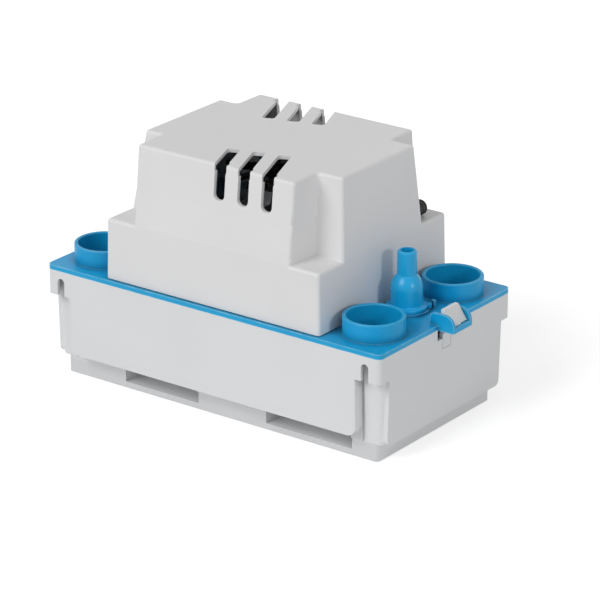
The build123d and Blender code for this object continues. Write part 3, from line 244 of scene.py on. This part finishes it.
def edge_group():
    """Mask of the edges, for wear and painted highlight: 1 along an edge, broken up by noise."""
    group, given, leave = new_group(
        "Worn and highlit edges", [("Width", NUMBER, 0.7 * MM), ("Amount", NUMBER, 0.5)], [("Mask", NUMBER)])
    rounded = add_node(group, "ShaderNodeBevel", {"Radius": given["Width"]}, samples=6)
    meet = add_node(group, "ShaderNodeVectorMath", {0: rounded.outputs["Normal"], 1: facing(group)},
                    operation="DOT_PRODUCT")
    flat, sharp = 0.995, 0.80  # cosines of the turn that a rounded edge gives the surface
    near = spread(group, meet.outputs["Value"], flat, sharp)
    faint, full, left = 0.35, 0.65, 0.35  # noise where the lighter edge line is faint and full, and what is left when faint
    broken = spread(group, noise(group, on_object(group), CHIPS, 4.0), faint, full, left)
    edge = work_out(group, "MULTIPLY", near, broken)
    give(group, leave, Mask=work_out(group, "MULTIPLY", edge, given["Amount"], clamp=True))
    return group


def corner_shade_group():
    """Mask of painted shade in inner corners: 1 in the corner."""
    group, given, leave = new_group(
        "Painted corner shade", [("Reach", NUMBER, 4 * MM), ("Amount", NUMBER, 0.4)], [("Mask", NUMBER)])
    openness = add_node(group, "ShaderNodeAmbientOcclusion", {"Distance": given["Reach"]}, samples=8)
    clear, shut_in = 0.85, 0.35  # share of the space around a point that is open
    closed = spread(group, openness.outputs["AO"], clear, shut_in)
    give(group, leave, Mask=work_out(group, "MULTIPLY", closed, given["Amount"], clamp=True))
    return group


def metal_group():
    """Plated or ground metal: stained patches, and fine scratches drawn out along Z."""
    group, given, leave = new_group(
        "Metal surface",
        [("Colour", COLOUR, (0.6, 0.6, 0.6, 1)), ("Stain", COLOUR, (0.3, 0.28, 0.25, 1)),
         ("Stained", NUMBER, 0.25), ("Roughness", NUMBER, 0.35)],
        [("Colour", COLOUR), ("Roughness", NUMBER), ("Height", NUMBER)])
    place = on_object(group)
    unmarked, stained = 0.45, 0.7
    patch = spread(group, noise(group, place, STAINS, 5.0, 0.6), unmarked, stained)
    amount = work_out(group, "MULTIPLY", patch, given["Stained"])
    drawn_out = add_node(group, "ShaderNodeMapping", {"Vector": place, "Scale": (1.0, 1.0, 0.08)})
    give(group, leave,
         Colour=mixed(group, amount, given["Colour"], given["Stain"]),
         Roughness=work_out(group, "MULTIPLY_ADD", amount, 0.3, given["Roughness"], clamp=True),
         Height=noise(group, drawn_out.outputs["Vector"], SCRATCHES, 2.0))
    return group


def ridge_group():
    """Parallel ridges along one axis, such as turns of wire or sheets in a stack."""
    group, given, leave = new_group(
        "Parallel ridges", [("Position", NUMBER, 0.0), ("Pitch", NUMBER, 0.5 * MM)],
        [("Ridge", NUMBER), ("Gap", NUMBER)])
    crest, side, half = 0.1, 0.38, 0.5  # distances from a ridge's middle, as shares of the pitch
    part = work_out(group, "FRACT", work_out(group, "DIVIDE", given["Position"], given["Pitch"]))
    away = work_out(group, "ABSOLUTE", work_out(group, "SUBTRACT", part, half))
    give(group, leave,
         Ridge=spread(group, away, half, crest, slope="SMOOTHSTEP"),
         Gap=spread(group, away, side, half))
    return group


GROUP_MAKERS = {"Moulding surface": moulding_group, "Worn and highlit edges": edge_group, "Painted corner shade": corner_shade_group,
                "Metal surface": metal_group, "Parallel ridges": ridge_group}
GROUPS = {}


def group_node(tree, name, **inputs):
    """Outputs of a placed shader group with its own values or sockets; each group is built once."""
    if name not in GROUPS:
        GROUPS[name] = GROUP_MAKERS[name]()
    named = {label.replace("_", " "): value for label, value in inputs.items()}
    return add_node(tree, "ShaderNodeGroup", named, node_tree=GROUPS[name]).outputs


# ------------------------------------------------------------------ materials
WHITE = (1, 1, 1, 1)
CORNER_SHADE_REACH = 8 * MM  # distance over which painted shade fades out of an inner corner


def empty_material(name):
    """A material with no nodes yet, and its tree."""
    material = bpy.data.materials.new(name)
    material.use_nodes = True
    material.node_tree.nodes.clear()
    return material, material.node_tree


def new_material(name, **plain):
    """A material with its tree and its Principled shader, whose plain inputs are set."""
    material, tree = empty_material(name)
    values = {label.replace("_", " "): value for label, value in plain.items()}
    shader = add_node(tree, "ShaderNodeBsdfPrincipled", values)
    add_node(tree, "ShaderNodeOutputMaterial", {"Surface": shader.outputs["BSDF"]})
    return material, tree, shader


def finish_surface(tree, shader, colour, roughness, height, depth, strength=0.35):
    """Links a surface's colour and roughness to its shader, and its height through a bump of that depth."""
    bump = add_node(tree, "ShaderNodeBump", {"Strength": strength, "Distance": depth, "Height": height})
    tree.links.new(colour, shader.inputs["Base Color"])
    tree.links.new(roughness, shader.inputs["Roughness"])
    tree.links.new(bump.outputs["Normal"], shader.inputs["Normal"])


def shade(colour, share, lift=0.0):
    """A colour made darker or lighter by a share, then lifted, with its alpha."""
    return (*[min(1.0, part * share + lift) for part in colour], 1)


def moulded(name, sizes, colour, edge_colour, roughness=0.5, coarseness=1.0, bump=0.03 * MM, drift=0.04,
            dust=0.03, edges=0.5, edge_breadth=1.0, specular=0.4, foot_shade=0.0, corner_shade=0.0):
    """Moulded plastic with grain, colour drift, settled dust, edges lightened by wear and painted
    highlight, painted shade on the foot, and inner corners darkened by painted shade.
    """
    material, tree, shader = new_material(name, Specular_IOR_Level=specular)
    skin = group_node(tree, "Moulding surface", Colour=(*colour, 1), Drift=drift, Roughness=roughness,
                      Grain_per_metre=1 / (sizes.grain * coarseness), Dust=dust, Scuffed_foot=foot_shade)
    # Lighter edges: partly wear, partly painted highlight.
    worn_and_highlit = group_node(tree, "Worn and highlit edges", Width=edge_breadth * sizes.worn_and_highlit_edge, Amount=edges)
    tone = mixed(tree, worn_and_highlit["Mask"], skin["Colour"], (*edge_colour, 1))
    # Painted shade: inner corners are turned towards a darker copy of the colour.
    if corner_shade > 0:
        shaded_corners = group_node(tree, "Painted corner shade", Reach=CORNER_SHADE_REACH, Amount=corner_shade)
        tone = mixed(tree, shaded_corners["Mask"], tone, shade(colour, 0.35))
    finish_surface(tree, shader, tone, skin["Roughness"], skin["Height"], bump)
    return material


def metal(name, colour, stain, roughness=0.35, bump=0.01 * MM):
    """Plain metal with stains, scratches and edges brightened by wear and painted highlight."""
    material, tree, shader = new_material(name, Metallic=1.0)
    skin = group_node(tree, "Metal surface", Colour=(*colour, 1), Stain=(*stain, 1), Stained=0.25,
                      Roughness=roughness)
    # Brighter edges: partly wear, partly painted highlight.
    worn_and_highlit = group_node(tree, "Worn and highlit edges", Width=0.4 * MM, Amount=0.4)
    tone = mixed(tree, worn_and_highlit["Mask"], skin["Colour"], shade(colour, 1.25, 0.05))
    finish_surface(tree, shader, tone, skin["Roughness"], skin["Height"], bump)
    return material


def ridged(name, colour, gap_colour, axis, pitch, depth, metallic, roughness):
    """A surface of parallel ridges along an axis: wire turns or stacked sheets."""
    material, tree, shader = new_material(name, Metallic=metallic)
    position = along(tree, on_object(tree)).outputs[axis]
    ridge = group_node(tree, "Parallel ridges", Position=position, Pitch=pitch)
    skin = group_node(tree, "Metal surface", Colour=(*colour, 1), Stain=shade(colour, 0.7), Stained=0.4,
                      Roughness=roughness)
    tone = mixed(tree, ridge["Gap"], skin["Colour"], (*gap_colour, 1))
    finish_surface(tree, shader, tone, skin["Roughness"], ridge["Ridge"], depth, strength=0.8)
    return material


def dress(material, *names):
    """Gives CAD nodes a finish in place of their plain one."""
    for name in names:
        mesh = NODES[name].data
        mesh.materials.clear()
        mesh.materials.append(material)


# ------------------------------------------------------------------ modelling helpers
TOUCH = 0.001 * MM  # points closer than this are in the same place
SMOOTH_BELOW = 35  # edges flatter than this many degrees are shaded smooth


def start_piece():
    """Leaves edit mode and deselects everything, before a primitive is added."""
    if bpy.context.object and bpy.context.object.mode != "OBJECT":
        bpy.ops.object.mode_set(mode="OBJECT")
    bpy.ops.object.select_all(action="DESELECT")


def select_only(obj):
    """Makes obj the only selected and active object."""
    start_piece()
    obj.select_set(True)
    bpy.context.view_layer.objects.active = obj


def pick_faces(obj, wanted):
    """Enters edit mode with only the faces of obj selected for which wanted says yes."""
    select_only(obj)
    bpy.ops.object.mode_set(mode="EDIT")
    bpy.ops.mesh.select_mode(type="FACE")
    bpy.ops.mesh.select_all(action="DESELECT")
    bpy.ops.object.mode_set(mode="OBJECT")
    for face in obj.data.polygons:
        face.select = wanted(face)
    bpy.ops.object.mode_set(mode="EDIT")


def pick_end(obj):
    """Enters edit mode with only the face at the local top of obj selected."""
    top = max(face.center.z for face in obj.data.polygons)
    pick_faces(obj, lambda face: face.center.z > top - TOUCH)


def step_end(run, factor):
    """Extrudes the selected end along +Y by run and scales it about the Y axis."""
    bpy.ops.mesh.extrude_region_move(TRANSFORM_OT_translate={"value": (0, run, 0)})
    bpy.ops.transform.resize(value=(factor, 1, factor))


def leave_edit_mode():
    """Merges what touches, turns every face outwards and leaves edit mode."""
    bpy.ops.mesh.select_all(action="SELECT")
    bpy.ops.mesh.remove_doubles(threshold=TOUCH)
    bpy.ops.mesh.normals_make_consistent(inside=False)
    bpy.ops.object.mode_set(mode="OBJECT")


def modify(obj, kind, **settings):
    """Applies a modifier with its settings to obj."""
    modifier = obj.modifiers.new(kind.lower(), kind)
    for key, value in settings.items():
        setattr(modifier, key, value)
    bpy.ops.object.modifier_apply(modifier=modifier.name)


def round_edges(obj, width, sharper_than):
    """Rounds the edges that are sharper than an angle in degrees, and shades the rest smooth."""
    modify(obj, "BEVEL", width=width, segments=2, limit_method="ANGLE",
           angle_limit=math.radians(sharper_than))
    bpy.ops.object.shade_smooth_by_angle(angle=math.radians(SMOOTH_BELOW))


def settle(obj, name, material, body):
    """Names a finished piece, puts its place in its mesh and hangs it on its body."""
    select_only(obj)
    bpy.ops.object.transform_apply(location=True, rotation=True, scale=True)
    obj.name = name
    obj.data.name = name
    obj.data.materials.clear()
    obj.data.materials.append(material)
    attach(obj, body)


# ------------------------------------------------------------------ operators
class PUMP_OT_tank(bpy.types.Operator):
    """Satin grey moulding of the tank and its latch hook"""

    bl_idname = "pump.tank"
    bl_label = "Tank"

    def execute(self, context):
        colours, sizes = context.scene.pump_colours, context.scene.pump_sizes
        # The darker foot of the tank is painted shade.
        grey = moulded("tank moulding", sizes, colours.tank, edge_colour=(0.86, 0.87, 0.88),
                       roughness=0.46, edges=0.45, dust=0.05, foot_shade=0.13)
        dress(grey, "tank", "latch_hook")
        return {"FINISHED"}


class PUMP_OT_cover(bpy.types.Operator):
    """Satin grey moulding of the motor cover"""

    bl_idname = "pump.cover"
    bl_label = "Motor cover"

    def execute(self, context):
        colours, sizes = context.scene.pump_colours, context.scene.pump_sizes
        grey = moulded("cover moulding", sizes, colours.cover, edge_colour=(0.88, 0.88, 0.89),
                       roughness=0.48, edges=0.45, dust=0.04)
        dress(grey, "motor_cover")
        return {"FINISHED"}


class PUMP_OT_lid(bpy.types.Operator):
    """Blue moulding of the lid and its collars"""

    bl_idname = "pump.lid"
    bl_label = "Lid"

    def execute(self, context):
        colours, sizes = context.scene.pump_colours, context.scene.pump_sizes
        # Painted highlight: the light cyan line along the lid's edges. Painted shade: the dark corners
        # where the cover stands on the lid.
        blue = moulded("lid moulding", sizes, colours.lid, edge_colour=(0.34, 0.72, 0.92),
                       roughness=0.42, edges=1.0, edge_breadth=1.6, drift=0.06, corner_shade=0.9)
        dress(blue, "lid")
        return {"FINISHED"}


class PUMP_OT_valve(bpy.types.Operator):
    """Blue moulding of the check valve, with its rubber parts"""

    bl_idname = "pump.valve"
    bl_label = "Check valve"

    def execute(self, context):
        colours, sizes = context.scene.pump_colours, context.scene.pump_sizes
        blue = moulded("valve moulding", sizes, colours.valve, edge_colour=(0.20, 0.58, 0.80),
                       roughness=0.33, drift=0.06)
        rubber = moulded("valve rubber", sizes, (0.018, 0.018, 0.020), edge_colour=(0.05, 0.05, 0.05),
                         roughness=0.6, edges=0.3, bump=0.05 * MM)
        dress(blue, "valve_body")
        dress(rubber, "valve_seat", "valve_ball", "valve_o_ring")
        return {"FINISHED"}


class PUMP_OT_motor(bpy.types.Operator):
    """Laminated stack, wound coil, brackets, bearings, rotor and fan"""

    bl_idname = "pump.motor"
    bl_label = "Motor"

    def execute(self, context):
        colours, sizes = context.scene.pump_colours, context.scene.pump_sizes
        # Stack, coil and fan are dark partly as their real finish and partly as painted shade for the dark
        # seen through the cover's vents.
        sheets = ridged("stack sheets", (0.20, 0.205, 0.215), gap_colour=(0.05, 0.045, 0.04), axis="Z",
                        pitch=sizes.lamination, depth=0.08 * MM, metallic=0.9, roughness=0.42)
        wire = ridged("wire turns", colours.winding, gap_colour=(0.10, 0.03, 0.01), axis="Y",
                      pitch=sizes.wire, depth=0.15 * MM, metallic=0.6, roughness=0.28)
        zinc = metal("zinc plate", (0.62, 0.63, 0.64), stain=(0.42, 0.42, 0.40))
        steel = metal("ground steel", (0.66, 0.66, 0.67), stain=(0.5, 0.5, 0.5), roughness=0.22)
        bronze = metal("sintered bronze", (0.42, 0.28, 0.13), stain=(0.20, 0.14, 0.08), roughness=0.5,
                       bump=0.03 * MM)
        white = moulded("white moulding", sizes, colours.white_moulding, edge_colour=(0.85, 0.85, 0.83),
                        roughness=0.45, dust=0.10)
        black = moulded("fan moulding", sizes, (0.009, 0.009, 0.010), edge_colour=(0.025, 0.025, 0.027),
                        roughness=0.55, dust=0.01, specular=0.3)
        dress(sheets, "motor_stack", "rotor")
        dress(wire, "motor_coil")
        dress(zinc, "lower_bracket", "upper_bracket", "motor_screws", "cover_screws", "column_screws",
              "switch_screws")
        dress(steel, "shaft", "lever_pin")
        dress(bronze, "lower_bearing", "upper_bearing", "guide_bush")
        dress(white, "coil_bobbin", "impeller", "float_block", "float_rod", "switch_lever")
        dress(black, "cooling_fan")
        return {"FINISHED"}


# Spring clips on the hose
BAND_RADIUS, BAND_WIDTH, BAND_WALL = 7.7 * MM, 4.5 * MM, 0.45 * MM  # the radius is the outer one
BAND_SIDES = 48
EAR_HEIGHT = 3.4 * MM
CLIP_REACH = 8.1 * MM  # from the middle of a clip to the side of the CAD clips' box
OUTLET_CLIP_TURN = math.radians(115)  # turn of the ears about the upright end of the hose
CASING_CLIP_X, CASING_CLIP_Y = 29.2 * MM, -10.9 * MM
CASING_OUTLET_WAY = math.radians(10.5)  # turn of the casing's outlet from the X axis


class PUMP_OT_pump(bpy.types.Operator):
    """Column, casing, strainer, hose and spring clips under the lid"""

    bl_idname = "pump.pump"
    bl_label = "Pump"

    def execute(self, context):
        colours, sizes = context.scene.pump_colours, context.scene.pump_sizes
        dark = moulded("dark moulding", sizes, colours.dark_moulding, edge_colour=(0.12, 0.12, 0.13))
        vinyl = moulded("cloudy vinyl", sizes, (0.52, 0.56, 0.53), edge_colour=(0.66, 0.70, 0.68),
                        roughness=0.28, coarseness=3, drift=0.12)
        spring = metal("spring steel", (0.50, 0.50, 0.51), stain=(0.34, 0.33, 0.31), roughness=0.3)
        dress(dark, "pump_column", "pump_casing", "suction_plate", "switch_bracket")
        dress(vinyl, "discharge_hose")
        low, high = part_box("hose_clips")
        self.hose_clip("hose_clip_outlet", spring,
                       place=(high[0] - CLIP_REACH, 0, high[2] - BAND_WIDTH / 2),
                       turn=(0, 0, OUTLET_CLIP_TURN))
        self.hose_clip("hose_clip_casing", spring,
                       place=(CASING_CLIP_X, CASING_CLIP_Y, low[2] + CLIP_REACH),
                       turn=(math.radians(90), 0, math.radians(90) + CASING_OUTLET_WAY))
        return {"FINISHED"}

    @staticmethod
    def hose_clip(name, material, place, turn):
        """Spring clip: a band round the hose with two ears to squeeze."""
        start_piece()
        bpy.ops.mesh.primitive_cylinder_add(
            vertices=BAND_SIDES, radius=BAND_RADIUS, depth=BAND_WIDTH, end_fill_type="NOTHING",
            location=place, rotation=turn)
        clip = bpy.context.active_object
        side = 2 * BAND_RADIUS * math.sin(math.pi / BAND_SIDES)

        def under_ear(face):
            """Whether an ear grows from this side of the band; one side lies between the two ears."""
            away = abs(face.center.x - side / 2)
            return face.center.y > 0 and 0.5 * side < away < 1.5 * side

        pick_faces(clip, under_ear)
        outward = clip.matrix_world.to_3x3() @ Vector((0, EAR_HEIGHT, 0))
        bpy.ops.mesh.extrude_faces_move(TRANSFORM_OT_shrink_fatten={"value": 0})
        bpy.ops.transform.translate(value=outward)
        leave_edit_mode()
        modify(clip, "SOLIDIFY", thickness=BAND_WALL, offset=-1)
        round_edges(clip, width=0.1 * MM, sharper_than=40)
        settle(clip, name, material, "head")
        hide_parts("hose_clips")


# Ribbed sleeve of the cable gland, from its inner end to its outer end
GLAND_FLANGE, GLAND_GROOVE, GLAND_COLLAR = 1.6 * MM, 3.26 * MM, 1.3 * MM  # lengths before the ribs
GLAND_WAIST = 3.38 * MM  # radius in the groove
GLAND_BORE, BORE_END = 2.8 * MM, 0.5 * MM  # radius of the bore, and the wall left at its inner end
GLAND_INSET = 0.02 * MM  # how far the sleeve stays inside the CAD gland
RIB_SLOPE, RIB_GAP, RIB_TOP = 0.12, 0.36, 0.40  # shares of a rib's pitch; it has two slopes
GAP_RADIUS, TAPER = 0.86, 0.985  # radius in a gap and at the end of a rib, as shares of the one before


class PUMP_OT_wiring(bpy.types.Operator):
    """Gland, switches and terminal block"""

    bl_idname = "pump.wiring"
    bl_label = "Wiring"

    def execute(self, context):
        sizes = context.scene.pump_sizes
        black = moulded("black moulding", sizes, (0.012, 0.012, 0.013), edge_colour=(0.06, 0.06, 0.06))
        red = moulded("red moulding", sizes, (0.45, 0.012, 0.008), edge_colour=(0.6, 0.1, 0.08),
                      roughness=0.4)
        brass = metal("terminal brass", (0.70, 0.52, 0.22), stain=(0.35, 0.24, 0.10), roughness=0.3)
        dress(black, "pump_switch", "alarm_switch", "terminal_block")
        dress(red, "pump_switch_button", "alarm_switch_button")
        dress(brass, "terminal_screws")
        self.ribbed_gland(sizes.gland_ribs, black)
        return {"FINISHED"}

    @staticmethod
    def ribbed_gland(ribs, material):
        """Ribbed sleeve of the gland, with the groove that grips the cover's wall."""
        low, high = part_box("cable_gland")
        length = high[1] - low[1]
        radius = (high[2] - low[2]) / 2 - GLAND_INSET
        start_piece()
        bpy.ops.mesh.primitive_cylinder_add(
            vertices=64, radius=radius, depth=GLAND_FLANGE, end_fill_type="NGON",
            location=((low[0] + high[0]) / 2, low[1] + GLAND_FLANGE / 2, (low[2] + high[2]) / 2),
            rotation=(math.radians(-90), 0, 0))
        sleeve = bpy.context.active_object
        pick_end(sleeve)
        step_end(0, GLAND_WAIST / radius)
        step_end(GLAND_GROOVE, 1)
        step_end(0, radius / GLAND_WAIST)
        step_end(GLAND_COLLAR, 1)
        pitch = (length - GLAND_FLANGE - GLAND_GROOVE - GLAND_COLLAR) / ribs
        for _ in range(ribs):
            step_end(RIB_SLOPE * pitch, GAP_RADIUS)
            step_end(RIB_GAP * pitch, 1)
            step_end(RIB_SLOPE * pitch, 1 / GAP_RADIUS)
            step_end(RIB_TOP * pitch, TAPER)
        step_end(0, GLAND_BORE / (radius * TAPER ** ribs))
        step_end(BORE_END - length, 1)
        leave_edit_mode()
        round_edges(sleeve, width=0.12 * MM, sharper_than=30)
        settle(sleeve, "ribbed_gland", material, "head")
        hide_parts("cable_gland")


# ------------------------------------------------------------------ stage
LAMPS = (  # name, direction that the light comes from, strength, angle in degrees
    ("front lamp", (-0.30, -0.92, 0.742), 1.457, 35.0),
    ("side lamp", (0.95, -0.20, 0.35), 0.52, 9.0),
)
SOFT_LIGHT = 0.385  # strength of the even light all round
FLOOR_WIDTH, FLOOR_GAP = 12.0, 0.4 * MM  # the floor's side, and its distance below the feet
FLOOR_GREY = (0.80, 0.80, 0.80, 1)
FLOOR_LIFT = 0.55  # how much whiter the floor is seen than it is lit
EYE = Vector((1085.2, -1441.5, 762.5)) * MM
BACK = Vector((0.5542, -0.7473, 0.3667))  # from the object towards the camera
LENS, SENSOR = 207.85, 36.0  # focal length and sensor width in millimetres


def seen_directly(tree):
    """1 for rays from the camera, a mirror or clear glass, and 0 for the rays that light things."""
    ray = add_node(tree, "ShaderNodeLightPath").outputs
    direct = work_out(tree, "MAXIMUM", ray["Is Camera Ray"], ray["Is Glossy Ray"])
    return work_out(tree, "MAXIMUM", direct, ray["Is Transmission Ray"])


def place_on_stage(scene, name, data, rotation):
    """A lamp or the camera in the scene, turned by a quaternion."""
    obj = bpy.data.objects.new(name, data)
    scene.collection.objects.link(obj)
    obj.rotation_mode = "QUATERNION"
    obj.rotation_quaternion = rotation
    return obj


class PUMP_OT_stage(bpy.types.Operator):
    """Plain pale floor, soft lamps, white surroundings and the camera"""

    bl_idname = "pump.stage"
    bl_label = "Stage"

    def execute(self, context):
        scene = context.scene
        self.floor()
        self.lamps(scene)
        self.surroundings(scene)
        self.camera(scene)
        scene.view_settings.view_transform = "Standard"
        return {"FINISHED"}

    @staticmethod
    def floor():
        """White floor that keeps the shadow of the object."""
        start_piece()
        bpy.ops.mesh.primitive_plane_add(size=FLOOR_WIDTH, location=(0, 0, -FLOOR_GAP))
        floor = bpy.context.active_object
        floor.name = "floor"
        material, tree = empty_material("pale floor")
        matt = add_node(tree, "ShaderNodeBsdfDiffuse", {"Color": FLOOR_GREY})
        lift = work_out(tree, "MULTIPLY", seen_directly(tree), FLOOR_LIFT)
        seen = add_node(tree, "ShaderNodeEmission", {"Color": WHITE, "Strength": lift})
        both = add_node(tree, "ShaderNodeAddShader", {0: matt.outputs[0], 1: seen.outputs[0]})
        add_node(tree, "ShaderNodeOutputMaterial", {"Surface": both.outputs[0]})
        floor.data.materials.append(material)

    @staticmethod
    def lamps(scene):
        """One sun lamp for each row of LAMPS."""
        for name, way, strength, angle in LAMPS:
            sun = bpy.data.lights.new(name, "SUN")
            sun.energy = strength
            sun.angle = math.radians(angle)
            place_on_stage(scene, name, sun, Vector(way).to_track_quat("Z", "Y"))

    @staticmethod
    def surroundings(scene):
        """Soft even light all round, seen as white."""
        world = bpy.data.worlds.new("surroundings")
        scene.world = world
        world.use_nodes = True
        tree = world.node_tree
        tree.nodes.clear()
        soft = add_node(tree, "ShaderNodeBackground", {"Color": WHITE, "Strength": SOFT_LIGHT})
        white = add_node(tree, "ShaderNodeBackground", {"Color": WHITE, "Strength": 1.0})
        mix = add_node(tree, "ShaderNodeMixShader",
                       {0: seen_directly(tree), 1: soft.outputs[0], 2: white.outputs[0]})
        add_node(tree, "ShaderNodeOutputWorld", {"Surface": mix.outputs[0]})

    @staticmethod
    def camera(scene):
        """Camera with a long lens, well back and above the pump."""
        lens = bpy.data.cameras.new("camera")
        lens.lens = LENS
        lens.sensor_width = SENSOR
        lens.clip_start, lens.clip_end = 0.05, 50.0
        camera = place_on_stage(scene, "camera", lens, (-BACK).to_track_quat("-Z", "Y"))
        camera.location = EYE
        scene.camera = camera


class PUMP_PT_sidebar(bpy.types.Panel):
    """Settings and build buttons of the pump"""

    bl_label = "Condensate pump"
    bl_idname = "PUMP_PT_sidebar"
    bl_space_type = "VIEW_3D"
    bl_region_type = "UI"
    bl_category = "Pump"

    def draw(self, context):
        layout = self.layout
        for settings in (context.scene.pump_colours, context.scene.pump_sizes):
            column = layout.column()
            for key in settings.__annotations__:
                column.prop(settings, key)
        for step in STEPS:
            layout.operator(step.bl_idname)


STEPS = (PUMP_OT_tank, PUMP_OT_cover, PUMP_OT_lid, PUMP_OT_valve, PUMP_OT_motor, PUMP_OT_pump,
         PUMP_OT_wiring, PUMP_OT_stage)
CLASSES = (PumpColours, PumpSizes, *STEPS, PUMP_PT_sidebar)


def register():
    """Registers the settings, operators and panel."""
    for entry in CLASSES:
        bpy.utils.register_class(entry)
    bpy.types.Scene.pump_colours = bpy.props.PointerProperty(type=PumpColours)
    bpy.types.Scene.pump_sizes = bpy.props.PointerProperty(type=PumpSizes)


def unregister():
    """Removes what register added."""
    del bpy.types.Scene.pump_sizes
    del bpy.types.Scene.pump_colours
    for entry in reversed(CLASSES):
        bpy.utils.unregister_class(entry)


def main():
    """Builds every piece in order, then the stage."""
    register()
    for step in STEPS:
        family, action = step.bl_idname.split(".")
        getattr(getattr(bpy.ops, family), action)()


if __name__ == "__main__":
    main()
